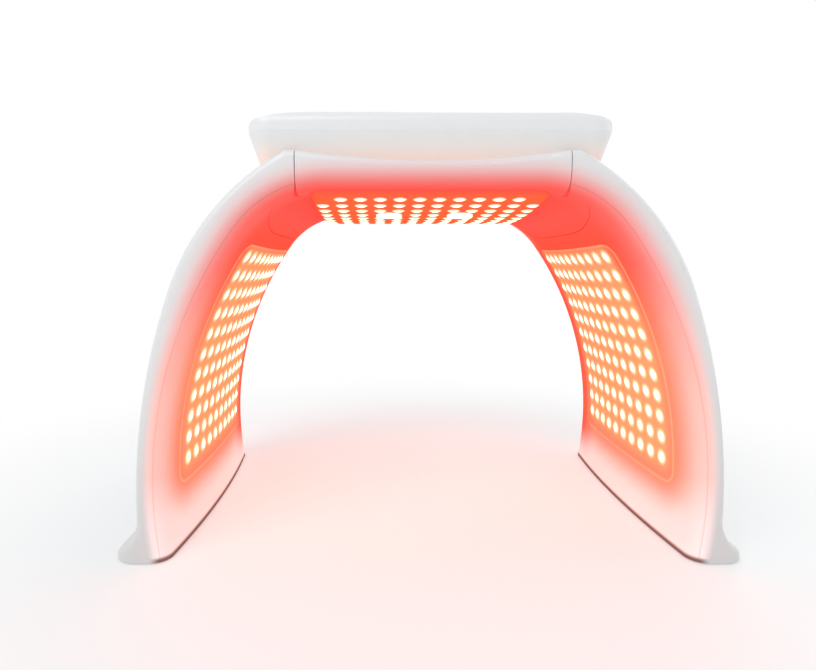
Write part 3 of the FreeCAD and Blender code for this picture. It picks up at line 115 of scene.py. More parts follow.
def put(tree, kind, *inputs, **settings):
    """Adds a node, sets its options and feeds its inputs in order."""
    node = tree.nodes.new("ShaderNode" + kind)
    for key, setting in settings.items():
        setattr(node, key, setting)
    for socket, source in zip(node.inputs, inputs):
        feed(tree, socket, source)
    return node.outputs[0]


def calc(tree, operation, *inputs):
    """One step of arithmetic on a number."""
    return put(tree, "Math", *inputs, operation=operation)


def ease(tree, value, low, high):
    """0 below low, 1 above high, and a smooth rise between; low may be the larger."""
    span = (min(low, high), max(low, high))
    ends = (0.0, 1.0) if low < high else (1.0, 0.0)
    return put(tree, "MapRange", value, *span, *ends, interpolation_type="SMOOTHSTEP")


def spread(tree, share, ends):
    """Turns a number from 0 to 1 into one between two ends."""
    return put(tree, "MapRange", share, 0.0, 1.0, *ends)


def blend_colour(tree, factor, first, second):
    """Mixes two colours by a number from 0 to 1."""
    node = tree.nodes.new("ShaderNodeMix")
    node.data_type = "RGBA"
    for place, source in zip(MIX_INPUTS, (factor, first, second)):
        feed(tree, node.inputs[place], source)
    return node.outputs[MIX_RESULT]


print("node helpers ready")

# %% Helpers for places and grain
GRAIN_DETAIL = 4
BUMP_FINER = 9
BUMP_STRENGTH = 0.2


def object_place(tree):
    """Place in the dome's own frame, in metres."""
    return tree.nodes.new("ShaderNodeTexCoord").outputs["Object"]


def axes_of(tree, where):
    """The three coordinates of a place."""
    split = tree.nodes.new("ShaderNodeSeparateXYZ")
    tree.links.new(where, split.inputs[0])
    return tuple(split.outputs)


def noise(tree, where, scale):
    """Cloudy pattern from 0 to 1."""
    cloud = put(tree, "TexNoise", where)
    cloud.node.inputs["Scale"].default_value = scale
    return cloud


def grain(tree, shader, where, scale, rough, height=0.0):
    """Uneven gloss from a noise, and a shallow bump from a finer one where a height is given."""
    cloud = noise(tree, where, scale)
    cloud.node.inputs["Detail"].default_value = GRAIN_DETAIL
    tree.links.new(spread(tree, cloud, rough), shader.inputs["Roughness"])
    if height:
        bump = tree.nodes.new("ShaderNodeBump")
        bump.inputs["Strength"].default_value = BUMP_STRENGTH
        bump.inputs["Distance"].default_value = height
        tree.links.new(noise(tree, where, scale * BUMP_FINER), bump.inputs["Height"])
        tree.links.new(bump.outputs[0], shader.inputs["Normal"])
    return cloud


def darker_tone(colour, share):
    """A darker tone of a colour, for the uneven grain."""
    return tuple(channel * share for channel in colour[:3]) + (1,)


def seen_directly(tree):
    """1 for a ray from the camera, a reflection or a clear piece, and 0 for one that only lights."""
    path = tree.nodes.new("ShaderNodeLightPath")
    seen = calc(tree, "MAXIMUM", path.outputs["Is Camera Ray"], path.outputs["Is Glossy Ray"])
    return calc(tree, "MAXIMUM", seen, path.outputs["Is Transmission Ray"])


print("place and grain helpers ready")

# %% World
PAGE_WHITE = (1, 1, 1, 1)
SKY_COLOUR = (0.95, 0.97, 1.0, 1)
SKY_STRENGTH = 0.62
world = bpy.data.worlds.new("studio")
bpy.context.scene.world = world
world.use_nodes = True
sky = world.node_tree
background = sky.nodes["Background"]
background.inputs["Color"].default_value = SKY_COLOUR
background.inputs["Strength"].default_value = SKY_STRENGTH
white_page = put(sky, "Background", PAGE_WHITE)
shown = put(sky, "MixShader", seen_directly(sky), background.outputs[0], white_page)
sky.links.new(shown, sky.nodes["World Output"].inputs["Surface"])
print("world strength", SKY_STRENGTH)

# %% Lamps
LAMP_SIZE = 1.4
LAMPS = (
    ("key_lamp", (-0.9, -1.3, 1.5), (0, 0, 0.2), 16),
    ("back_lamp", (0.8, 1.4, 1.6), (0, 0, 0.2), 9),
    ("side_lamp", (1.7, -0.1, 0.8), (0, 0, 0.15), 4.5),
)
for name, place, aim, watts in LAMPS:
    data = bpy.data.lights.new(name, "AREA")
    data.size = LAMP_SIZE
    data.energy = watts
    lamp = bpy.data.objects.new(name, data)
    lamp.location = place
    lamp.rotation_euler = (Vector(aim) - Vector(place)).to_track_quat("-Z", "Y").to_euler()
    bpy.context.scene.collection.objects.link(lamp)
print("lamps", len(LAMPS))

# %% Floor
FLOOR_HALF = 6.0
FLOOR_WHITE = (0.93, 0.93, 0.93, 1)
FLOOR_ROUGH = 0.8
FLOOR_SHINE = 0.2
FADE_REACH = (0.22, 0.62)
FADE_SHARE = (0.35, 1.0)
mesh = bpy.data.meshes.new("floor")
sheet = bmesh.new()
bmesh.ops.create_grid(sheet, x_segments=1, y_segments=1, size=FLOOR_HALF)
sheet.to_mesh(mesh)
sheet.free()
floor = bpy.data.objects.new("floor", mesh)
bpy.context.scene.collection.objects.link(floor)
floor_paint, tree, shader = start_finish("floor_paint")
shader.inputs["Base Color"].default_value = FLOOR_WHITE
shader.inputs["Roughness"].default_value = FLOOR_ROUGH
shader.inputs["Specular IOR Level"].default_value = FLOOR_SHINE
reach = put(tree, "VectorMath", object_place(tree), operation="LENGTH").node.outputs["Value"]
fade = spread(tree, ease(tree, reach, *FADE_REACH), FADE_SHARE)
fade = calc(tree, "MULTIPLY", fade, seen_directly(tree))
white_page = put(tree, "Emission", PAGE_WHITE, 1.0)
shown = put(tree, "MixShader", fade, shader.outputs[0], white_page)
tree.links.new(shown, tree.nodes["Material Output"].inputs["Surface"])
mesh.materials.append(floor_paint)
print("floor", 2 * FLOOR_HALF, "m wide")

# %% [markdown]
# ## Glow on the plastic
# The inside of the arch takes the red of the lamps, and the outside stays white. Lamps alone could do
# that, but they would need thousands of light samples to come out clean, so the lamps' light is painted
# into the moulding's colour, and the lit band also glows by itself. What sets it is the distance from the
# inner crest of the arch: a narrow rim outside stays white, and the rounded nose turns pink. Further up
# the lamps crowd together, so the pink deepens to red towards the hinges. Close to a field of lamps it is
# warmer, and at the back, away from the room's light, it is red. Painted shade makes the white a little
# greyer towards the feet, a painted shadow ends the lit side in a dark line at the floor, and the
# underside of the head is painted warm and glows faintly, as if lit by the lamps below.

# %% Colours by height
HEIGHT_TOP = 0.30
FAR_COLOURS = (
    (0.00, (0.92, 0.79, 0.78, 1)),
    (0.03, (0.92, 0.72, 0.70, 1)),
    (0.065, (0.92, 0.55, 0.50, 1)),
    (0.12, (0.92, 0.52, 0.46, 1)),
    (0.175, (0.92, 0.40, 0.35, 1)),
    (0.22, (0.92, 0.20, 0.175, 1)),
    (0.27, (0.90, 0.10, 0.08, 1)),
)
NEAR_COLOURS = (
    (0.00, (0.93, 0.42, 0.31, 1)),
    (0.04, (0.93, 0.27, 0.17, 1)),
    (0.15, (0.93, 0.28, 0.16, 1)),
    (0.22, (0.92, 0.13, 0.08, 1)),
    (0.27, (0.90, 0.085, 0.06, 1)),
)


def height_colour(tree, z, colours):
    """Colour of the lit plastic at a height."""
    ramp = tree.nodes.new("ShaderNodeValToRGB")
    stops = ramp.color_ramp.elements
    while len(stops) < len(colours):
        stops.new(0.5)
    for stop, (height, colour) in zip(stops, colours):
        stop.position = height / HEIGHT_TOP
        stop.color = colour
    tree.links.new(calc(tree, "DIVIDE", z, HEIGHT_TOP), ramp.inputs[0])
    return ramp.outputs[0]


print("colours for", len(FAR_COLOURS) + len(NEAR_COLOURS), "heights")

# %% Distance from the inner crest
WING_AXIS = (-0.124, 0.052)
WING_CREST = 0.314
HAUNCH_AXIS = (0.0726, 0.196)
HAUNCH_CREST = 0.070
BEND_SLOPE = math.tan(math.radians(36.2))


def length_of(tree, first, second):
    """Length of the long side over two short ones."""
    square = calc(tree, "MULTIPLY", second, second)
    return calc(tree, "SQRT", calc(tree, "MULTIPLY_ADD", first, first, square))


def crest_distance(tree, x, z):
    """How far a point lies outside the inner crest, about the wing axis or, above the bend, the haunch."""
    side = calc(tree, "ABSOLUTE", x)
    across = calc(tree, "SUBTRACT", side, WING_AXIS[0])
    up = calc(tree, "SUBTRACT", z, WING_AXIS[1])
    wing = calc(tree, "SUBTRACT", length_of(tree, across, up), WING_CREST)
    past = calc(tree, "SUBTRACT", side, HAUNCH_AXIS[0])
    lift = calc(tree, "SUBTRACT", z, HAUNCH_AXIS[1])
    haunch = length_of(tree, calc(tree, "MAXIMUM", past, 0.0), lift)
    haunch = calc(tree, "SUBTRACT", haunch, HAUNCH_CREST)
    above = calc(tree, "GREATER_THAN", lift, calc(tree, "MULTIPLY", past, BEND_SLOPE))
    return calc(tree, "MULTIPLY_ADD", above, calc(tree, "SUBTRACT", haunch, wing), wing)


print("crest", WING_CREST, "m from the wing axis")

# %% Fields of lamps
ROW_STEP = math.radians(3.1)
ROW_FIRST = math.radians(2.2)
ROW_LAST = 10
ROW_RADIUS = 0.316
COLUMN_PITCH = 0.017
COLUMN_HALF = 5
CEILING_PITCH = (0.0145, 0.0172)
CEILING_HALF = (6, 6)
PANEL_LOW = math.radians(-1.2)
PANEL_HIGH = math.radians(35.2)
PANEL_CORNER = 0.012
EDGE_INSET = (0.0026, 0.0012)


def past_field(tree, first, first_half, second, second_half):
    """How far a place on a panel lies outside a field about the panel's middle."""
    out = [calc(tree, "MAXIMUM", calc(tree, "SUBTRACT", calc(tree, "ABSOLUTE", value), half), 0.0)
           for value, half in ((first, first_half), (second, second_half))]
    return length_of(tree, *out)


def wing_angle(tree, x, z):
    """Angle of a point about the wing axis."""
    across = calc(tree, "SUBTRACT", calc(tree, "ABSOLUTE", x), WING_AXIS[0])
    return calc(tree, "ARCTAN2", calc(tree, "SUBTRACT", z, WING_AXIS[1]), across)


def along_wing(tree, x, z, middle):
    """Way along the curve of the wing from the angle of a middle."""
    return calc(tree, "MULTIPLY", calc(tree, "SUBTRACT", wing_angle(tree, x, z), middle), ROW_RADIUS)


def past_wing_field(tree, x, y, z):
    """How far a point of a wing lies outside its lamps."""
    along = along_wing(tree, x, z, ROW_FIRST + ROW_STEP * ROW_LAST / 2)
    half = ROW_STEP * ROW_RADIUS * ROW_LAST / 2
    return past_field(tree, along, half, y, COLUMN_PITCH * (COLUMN_HALF - 0.5))


def wing_panel_edge(tree, x, y, z):
    """1 on the raised edge of a wing panel, 0 inside it."""
    along = along_wing(tree, x, z, (PANEL_LOW + PANEL_HIGH) / 2)
    half = (PANEL_HIGH - PANEL_LOW) / 2 * ROW_RADIUS
    out = past_field(tree, along, half - PANEL_CORNER, y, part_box("led_panel_right")[1][1] - PANEL_CORNER)
    return ease(tree, out, PANEL_CORNER - EDGE_INSET[0], PANEL_CORNER - EDGE_INSET[1])


def past_ceiling_field(tree, x, y, z):
    """How far a point of the ceiling lies outside its lamps."""
    half = CEILING_PITCH[0] * (CEILING_HALF[0] - 0.5)
    return past_field(tree, x, half, y, CEILING_PITCH[1] * CEILING_HALF[1])


print("lamp rows on a wing", ROW_LAST + 1)

# %% White plastic
COVER_WHITE = (0.82, 0.825, 0.83, 1)
COVER_GLOSS = (0.29, 0.34)
WHITE_GLOSS = (0.31, 0.40)
WHITE_DEEPER = 0.96
WHITE_COAT = 0.25
WHITE_COAT_ROUGH = 0.12
SHELL_GRAIN = 60.0


def white_plastic(name, colour, rough):
    """Satin moulded plastic in one colour."""
    material, tree, shader = start_finish(name)
    cloud = grain(tree, shader, object_place(tree), SHELL_GRAIN, rough)
    mottled = blend_colour(tree, cloud, colour, darker_tone(colour, WHITE_DEEPER))
    tree.links.new(mottled, shader.inputs["Base Color"])
    shader.inputs["Coat Weight"].default_value = WHITE_COAT
    shader.inputs["Coat Roughness"].default_value = WHITE_COAT_ROUGH
    return material


cover_finish = white_plastic("cover_white", COVER_WHITE, COVER_GLOSS)
print("white plastic ready")

# %% Colour of the lit side
FIELD_REACH = 0.050
FIELD_EDGE = 0.014
BACK_RED = (0.92, 0.13, 0.075, 1)
BACK_Y = (0.066, 0.112)
BACK_Z = (0.004, 0.040)
# Painted shadow: a dark line along the foot of the lit side, where it meets the floor.
FOOT_SHADE = (0.12, 0.035, 0.02, 1)
FOOT_Z = (0.0055, 0.0022)
FOOT_SHARE = 0.9


def lit_colour(tree, x, y, z):
    """Painted lamp light: pink away from the lamps, salmon beside them and red at the back; a painted shadow
    makes it dark at the foot.
    """
    near = ease(tree, past_wing_field(tree, x, y, z), FIELD_REACH, FIELD_EDGE)
    lit = blend_colour(tree, near, height_colour(tree, z, FAR_COLOURS), height_colour(tree, z, NEAR_COLOURS))
    back = calc(tree, "MULTIPLY", ease(tree, y, *BACK_Y), ease(tree, z, *BACK_Z))
    lit = blend_colour(tree, back, lit, BACK_RED)
    # Painted shadow at the foot of the lit side.
    foot = calc(tree, "MULTIPLY", ease(tree, z, *FOOT_Z), FOOT_SHARE)
    return blend_colour(tree, foot, lit, FOOT_SHADE)


print("lit colour ready")

# %% Lit shells
SHELL_WHITE = (0.77, 0.77, 0.765, 1)
SHELL_SHADE = (0.68, 0.675, 0.665, 1)
SHADE_Z = (0.0, 0.17)
LIT_GLOSS = (0.31, 0.38)
BAND_Z = (0.10, 0.26)
BAND_OUTER = (0.0205, 0.0295)
BAND_INNER = (0.0125, 0.004)
PARTING = 0.012
PARTING_WIDE = (0.0006, 0.0002)
PARTING_SHARE = 0.2
PARTING_RED = (0.35, 0.12, 0.10, 1)
PANEL_LIGHT = 0.24
UPPER_LIGHT = 0.16
SHINE = (0.5, 0.0)
COAT = (0.2, 0.0)
COAT_END = 0.7
COAT_ROUGH = 0.15


def lit_plastic(name, parted):
    """White plastic with the lamps' light painted on towards the crest, over a wider band higher up."""
    material, tree, shader = start_finish(name)
    where = object_place(tree)
    x, y, z = axes_of(tree, where)
    grain(tree, shader, where, SHELL_GRAIN, LIT_GLOSS)
    crest = crest_distance(tree, x, z)
    rise = ease(tree, z, *BAND_Z)
    outer = spread(tree, rise, BAND_OUTER)
    inner = spread(tree, rise, BAND_INNER)
    glow = put(tree, "MapRange", crest, inner, outer, 1.0, 0.0, interpolation_type="SMOOTHSTEP")
    # Painted shade: the white turns a little greyer towards the feet.
    white = blend_colour(tree, ease(tree, z, *SHADE_Z), SHELL_SHADE, SHELL_WHITE)
    colour = blend_colour(tree, glow, white, lit_colour(tree, x, y, z))
    if parted:
        off_line = calc(tree, "ABSOLUTE", calc(tree, "SUBTRACT", crest, PARTING))
        line = calc(tree, "MULTIPLY", ease(tree, off_line, *PARTING_WIDE), PARTING_SHARE)
        colour = blend_colour(tree, line, colour, PARTING_RED)
    tree.links.new(colour, shader.inputs["Base Color"])
    tree.links.new(colour, shader.inputs["Emission Color"])
    # Painted light: the lit band glows by itself, a little more strongly low down than near the hinges.
    strength = spread(tree, rise, (PANEL_LIGHT, UPPER_LIGHT))
    tree.links.new(calc(tree, "MULTIPLY", glow, strength), shader.inputs["Emission Strength"])
    tree.links.new(spread(tree, glow, SHINE), shader.inputs["Specular IOR Level"])
    tree.links.new(put(tree, "MapRange", glow, 0.0, COAT_END, *COAT), shader.inputs["Coat Weight"])
    shader.inputs["Coat Roughness"].default_value = COAT_ROUGH
    return material


shell_finish = lit_plastic("shell_lit", True)
inner_finish = lit_plastic("inner_shell_lit", True)
centre_finish = lit_plastic("centre_lit", False)
print("lit shells ready")

# %% Head
# Painted light: the head's white is a little lighter than the cover, to lift the shade on its downward flare,
# and its lower part is painted warm with a faint glow, as light from the lamps below.
HEAD_WHITE = (0.86, 0.86, 0.845, 1)
LOW_LAMP_GLOW = (0.93, 0.68, 0.58, 1)
HEAD_PLAIN_Z = 0.311
HEAD_WARM_Z = 0.290
HEAD_WARM_SHARE = 0.85
HEAD_LIGHT = 0.16
head_finish = white_plastic("head_white", HEAD_WHITE, WHITE_GLOSS)
tree = head_finish.node_tree
shader = tree.nodes["Principled BSDF"]
height = axes_of(tree, object_place(tree))[2]
warm = calc(tree, "MULTIPLY", ease(tree, height, HEAD_PLAIN_Z, HEAD_WARM_Z), HEAD_WARM_SHARE)
plain = shader.inputs["Base Color"].links[0].from_socket
colour = blend_colour(tree, warm, plain, LOW_LAMP_GLOW)
tree.links.new(colour, shader.inputs["Base Color"])
tree.links.new(colour, shader.inputs["Emission Color"])
tree.links.new(calc(tree, "MULTIPLY", warm, HEAD_LIGHT), shader.inputs["Emission Strength"])
print("head warm below", HEAD_PLAIN_Z, "m")

# %% [markdown]
# ## Lamp panels
# Each panel is a white plate with a lamp in every hole, and the lamps' light is painted on it: around a
# lamp the plate is a bright cream halo, between the lamps it is orange, and the raised edge of a wing
# panel shows as a paler line, a painted highlight. The plate also glows by itself. A picture of the grid
# could be painted on, but the lamps sit on a regular pitch, so the distance to the nearest one can be
# worked out from the coordinates and turned into the halo. The ceiling has no lamp at its four corners or
# close to the nozzles, so those places get no halo. The light drowns any reflection, so the plates have
# no shine.


# %% Nearest lamp of a wing
def off_grid(tree, value, low, high):
    """How far a number is from the nearest whole number between two limits."""
    nearest = calc(tree, "ROUND", value)
    nearest = calc(tree, "MAXIMUM", nearest, low)
    nearest = calc(tree, "MINIMUM", nearest, high)
    return calc(tree, "SUBTRACT", value, nearest)


def wing_lamp_distance(tree, x, y, z):
    """Distance to the nearest lamp of a wing."""
    row = calc(tree, "DIVIDE", calc(tree, "SUBTRACT", wing_angle(tree, x, z), ROW_FIRST), ROW_STEP)
    column = calc(tree, "SUBTRACT", calc(tree, "DIVIDE", y, COLUMN_PITCH), 0.5)
    along = calc(tree, "MULTIPLY", off_grid(tree, row, 0, ROW_LAST), ROW_STEP * ROW_RADIUS)
    side = calc(tree, "MULTIPLY", off_grid(tree, column, -COLUMN_HALF, COLUMN_HALF - 1), COLUMN_PITCH)
    return length_of(tree, along, side)


print("lamp columns on a wing", 2 * COLUMN_HALF)

# %% Nearest lamp of the ceiling
NOZZLE_ROOM = 0.0161


def middle_of(box):
    """Centre of a box in plan."""
    low, high = box
    return ((low[0] + high[0]) / 2, (low[1] + high[1]) / 2)


def without_lamp(tree, lamp_x, lamp_y):
    """1 for the places of the ceiling grid that stay empty: its corners and those close to a nozzle."""
    last_column = calc(tree, "GREATER_THAN", lamp_x, CEILING_PITCH[0] * (CEILING_HALF[0] - 1))
    row_limit = CEILING_PITCH[1] * (CEILING_HALF[1] - 0.5)
    last_row = calc(tree, "GREATER_THAN", calc(tree, "ABSOLUTE", lamp_y), row_limit)
    nozzle_x, nozzle_y = middle_of(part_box("nozzle_ring_right"))
    past = length_of(tree, calc(tree, "SUBTRACT", lamp_x, nozzle_x), calc(tree, "SUBTRACT", lamp_y, nozzle_y))
    nozzle = calc(tree, "LESS_THAN", past, NOZZLE_ROOM)
    return calc(tree, "MAXIMUM", calc(tree, "MULTIPLY", last_column, last_row), nozzle)


def ceiling_lamp_distance(tree, x, y, z):
    """Distance to the nearest place of the ceiling grid, and a pitch more where it stays empty."""
    pitch_x, pitch_y = CEILING_PITCH
    half_x, half_y = CEILING_HALF
    column = calc(tree, "SUBTRACT", calc(tree, "DIVIDE", x, pitch_x), 0.5)
    row = calc(tree, "DIVIDE", y, pitch_y)
    side = calc(tree, "MULTIPLY", off_grid(tree, column, -half_x, half_x - 1), pitch_x)
    along = calc(tree, "MULTIPLY", off_grid(tree, row, -half_y, half_y), pitch_y)
    lamp_x = calc(tree, "ABSOLUTE", calc(tree, "SUBTRACT", x, side))
    empty = without_lamp(tree, lamp_x, calc(tree, "SUBTRACT", y, along))
    return calc(tree, "MULTIPLY_ADD", empty, pitch_x, length_of(tree, along, side))


print("lamp columns in the ceiling", 2 * CEILING_HALF[0])

# %% Panel finishes
LAMP_RADIUS = 0.0046
LAMP_HALO_CREAM = (1.0, 0.60, 0.34, 1)
WING_GLOW_ORANGE = (0.96, 0.38, 0.18, 1)
EDGE_HIGHLIGHT = (0.98, 0.55, 0.30, 1)
CEILING_GLOW_ORANGE = (0.94, 0.14, 0.055, 1)
FIELD_FADE = (0.016, 0.002)
HALO_START = 0.9
WING_HALO = 1.7
CEILING_HALO = 1.2
HALO_LIGHT = 0.6
EDGE_SHARE = 0.45


def panel_finish(name, distance, past, halo_reach, between, edge=None):
    """Plate with the lamps' light painted on: a halo round each lamp; outside the lamps it takes the colour
    of the shell beside it.
    """
    material, tree, shader = start_finish(name)
    where = object_place(tree)
    x, y, z = axes_of(tree, where)
    grain(tree, shader, where, SHELL_GRAIN, LIT_GLOSS)
    # Painted light: a cream halo round each lamp and an orange glow between the lamps.
    halo = ease(tree, distance(tree, x, y, z), LAMP_RADIUS * halo_reach, LAMP_RADIUS * HALO_START)
    inside = ease(tree, past(tree, x, y, z), *FIELD_FADE)
    field = blend_colour(tree, inside, lit_colour(tree, x, y, z), between)
    if edge:
        # Painted highlight: the raised edge of a wing panel shows as a paler line.
        line = calc(tree, "MULTIPLY", edge(tree, x, y, z), EDGE_SHARE)
        field = blend_colour(tree, line, field, EDGE_HIGHLIGHT)
    colour = blend_colour(tree, halo, field, LAMP_HALO_CREAM)
    tree.links.new(colour, shader.inputs["Base Color"])
    tree.links.new(colour, shader.inputs["Emission Color"])
    # Painted light: the plate glows by itself, most in the halos.
    tree.links.new(spread(tree, halo, (PANEL_LIGHT, HALO_LIGHT)), shader.inputs["Emission Strength"])
    shader.inputs["Specular IOR Level"].default_value = 0.0
    return material


wing_panel_finish = panel_finish(
    "wing_panel_lit", wing_lamp_distance, past_wing_field, WING_HALO, WING_GLOW_ORANGE, wing_panel_edge)
ceiling_panel_finish = panel_finish(
    "ceiling_panel_lit", ceiling_lamp_distance, past_ceiling_field, CEILING_HALO, CEILING_GLOW_ORANGE)
print("panel finishes ready")

# %% Lens finishes
LENS_CLEAR = (0.95, 0.80, 0.70, 1)
LENS_RED = (1.0, 0.33, 0.20, 1)
LENS_EDGE = (0.55, 0.98)
LENS_LIGHT = (4.0, 0.9)
LENS_GLOSS = (0.08, 0.16)
LENS_GRAIN = 900


def lens_finish(name, distance):
    """Clear lens over a lit lamp: its red light clips to white in the middle and stays warm at the edge."""
    material, tree, shader = start_finish(name)
    where = object_place(tree)
    out = distance(tree, *axes_of(tree, where))
    edge = ease(tree, out, LAMP_RADIUS * LENS_EDGE[0], LAMP_RADIUS * LENS_EDGE[1])
    shader.inputs["Base Color"].default_value = LENS_CLEAR
    shader.inputs["Emission Color"].default_value = LENS_RED
    tree.links.new(spread(tree, edge, LENS_LIGHT), shader.inputs["Emission Strength"])
    tree.links.new(spread(tree, noise(tree, where, LENS_GRAIN), LENS_GLOSS), shader.inputs["Roughness"])
    return material


wing_lens_finish = lens_finish("wing_lens_lit", wing_lamp_distance)
ceiling_lens_finish = lens_finish("ceiling_lens_lit", ceiling_lamp_distance)
print("lens finishes ready")

# %% [markdown]
# ## Small parts
# Rubber, steel, circuit board and dark plastic each have their own grain at their own scale. Each could
# have a tree of its own, but they differ only in colour, gloss and grain, so one function makes them all.
# The display window is dark gloss, and its bars have a faint cool light. The nozzles are painted warm and
# glow by themselves, as light from the lamps they sit among.

# %% Small part finishes
PLAIN_DARKER = 0.82


def plain_finish(name, colour, rough, scale, metal=0.0, height=0.0001):
    """One colour, a little darker in places, with a fine bump."""
    material, tree, shader = start_finish(name)
    cloud = grain(tree, shader, object_place(tree), scale, rough, height)
    mottled = blend_colour(tree, cloud, darker_tone(colour, PLAIN_DARKER), colour)
    tree.links.new(mottled, shader.inputs["Base Color"])
    shader.inputs["Metallic"].default_value = metal
    return material


def glowing(material, colour, strength):
    """Gives a finish a light of its own."""
    shader = material.node_tree.nodes["Principled BSDF"]
    shader.inputs["Emission Color"].default_value = colour
    shader.inputs["Emission Strength"].default_value = strength


rubber_finish = plain_finish("rubber_grey", (0.16, 0.16, 0.165, 1), (0.7, 0.9), 400)
steel_finish = plain_finish("ground_steel", (0.62, 0.62, 0.64, 1), (0.25, 0.4), 500, metal=1.0)
board_finish = plain_finish("circuit_green", (0.05, 0.20, 0.09, 1), (0.4, 0.5), 300)
dark_finish = plain_finish("dark_plastic", (0.03, 0.03, 0.033, 1), (0.4, 0.55), 500)
display_finish = plain_finish("smoked_window", (0.012, 0.012, 0.015, 1), (0.04, 0.08), 200, height=0.00001)
key_finish = plain_finish("key_grey", (0.66, 0.67, 0.69, 1), (0.3, 0.45), 300)
mark_finish = plain_finish("mark_grey", (0.10, 0.11, 0.12, 1), (0.4, 0.5), 300)
tube_finish = plain_finish("silicone_tube", (0.7, 0.7, 0.72, 1), (0.4, 0.5), 300)
tank_finish = plain_finish("frosted_tank", (0.62, 0.70, 0.78, 1), (0.3, 0.45), 200)
bush_finish = plain_finish("acetal_bush", (0.78, 0.78, 0.74, 1), (0.4, 0.5), 300)
cap_finish = plain_finish("cap_white", (0.78, 0.79, 0.80, 1), (0.3, 0.42), 120)
# Painted light: the nozzle rings are warm and glow by themselves, lit by the lamps around them.
nozzle_finish = plain_finish("nozzle_lit", (0.95, 0.80, 0.70, 1), (0.2, 0.3), 200)
glowing(nozzle_finish, (1.0, 0.78, 0.62, 1), 1.1)
level_finish = plain_finish("level_bars", (0.5, 0.62, 0.66, 1), (0.3, 0.4), 300)
glowing(level_finish, (0.45, 0.85, 0.95, 1), 0.6)
print("small finishes ready")

# %% [markdown]
# ## Dressing the solids
# Most of the measured solids already have their true shape, so they keep it and only take a finish. Each
# could be dressed by name, but the record already says what a solid is made of, so the finish follows
# from that, and only the four solids that differ from others of their kind are named.

# %% Dress the solids
BY_SLOT = {
    "shell": shell_finish, "cover": cover_finish, "inner_shell": inner_finish, "rubber": rubber_finish,
    "steel": steel_finish, "board": board_finish, "dark_plastic": dark_finish, "display": display_finish,
    "key": key_finish, "tube": tube_finish, "tank": tank_finish, "bush": bush_finish, "nozzle": nozzle_finish,
    "cap": cap_finish, "rocker": dark_finish, "led_panel": wing_panel_finish, "lens": wing_lens_finish,
}
BY_NODE = {
    "centre_body": centre_finish,
    "head_shell": head_finish,
    "ceiling_led_panel": ceiling_panel_finish,
    "ceiling_led_lenses": ceiling_lens_finish,
}
slot_of = {entry["node"]: entry["material_slot"] for entry in frame["record"]["subparts"]}
for name, solid in nodes.items():
    finish = BY_NODE.get(name, BY_SLOT[slot_of[name]])
    solid.data.materials.clear()
    solid.data.materials.append(finish)
print("dressed", len(nodes), "solids")

# %% [markdown]
# ## Turned pieces
# The filler cap, the keys, the mist nozzles and the foot pads are all round. Each could be a stack of
# discs, but a moulded part has small lips and dishes, so an outline is spun about an upright axis
# instead. A second helper makes the object, lets it ride on its body and hides the solids it stands for.

# %% Helpers for new pieces
SHARP_ANGLE = math.radians(32)
JOIN_LIMIT = 1e-6


def add_piece(name, shape, finish, body, slot, *replaced):
    """Makes an object of a finished shape; it rides on a body and may stand for measured solids."""
    bmesh.ops.recalc_face_normals(shape, faces=shape.faces)
    mesh = bpy.data.meshes.new(name)
    shape.to_mesh(mesh)
    shape.free()
    mesh.materials.append(finish)
    mesh.shade_smooth()
    mesh.set_sharp_from_angle(angle=SHARP_ANGLE)
    piece = bpy.data.objects.new(name, mesh)
    bpy.context.scene.collection.objects.link(piece)
    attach(piece, body)
    if replaced:
        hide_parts(*replaced)
    return piece


def turn(shape, outline, middle, steps):
    """Spins an outline of (radius, height) points once round an upright axis."""
    corners = [shape.verts.new((middle[0] + radius, middle[1], height)) for radius, height in outline]
    edges = [shape.edges.new(pair) for pair in zip(corners, corners[1:])]
    bmesh.ops.spin(shape, geom=corners + edges, cent=(middle[0], middle[1], 0), axis=(0, 0, 1),
                   angle=2 * math.pi, steps=steps, use_merge=True)
    bmesh.ops.remove_doubles(shape, verts=shape.verts, dist=JOIN_LIMIT)


print("piece helpers ready")

# %% [markdown]
# ## Filler cap
# The cap closes the water tank and is unscrewed by hand, so its edge is fluted. Ribs could be set on one
# by one, but a ring of edges with every second corner drawn in gives the flutes at once. The ring is
# raised and drawn in step by step to make the shoulder and the dish, and lowered the other way for the
# plug.


# %% Raised ring
def raise_ring(shape, ring, middle, height, radius=None):
    """Extrudes a ring of edges to a height; with a radius, it also becomes an even circle."""
    grown = bmesh.ops.extrude_edge_only(shape, edges=ring)["geom"]
    corners = [part for part in grown if isinstance(part, bmesh.types.BMVert)]
    for corner in corners:
        corner.co.z = height
        if radius:
            out = Vector((corner.co.x - middle[0], corner.co.y - middle[1])).normalized() * radius
            corner.co.x = middle[0] + out.x
            corner.co.y = middle[1] + out.y
    fresh = set(corners)
    return [part for part in grown if isinstance(part, bmesh.types.BMEdge) and fresh.issuperset(part.verts)]


print("ring helper ready")

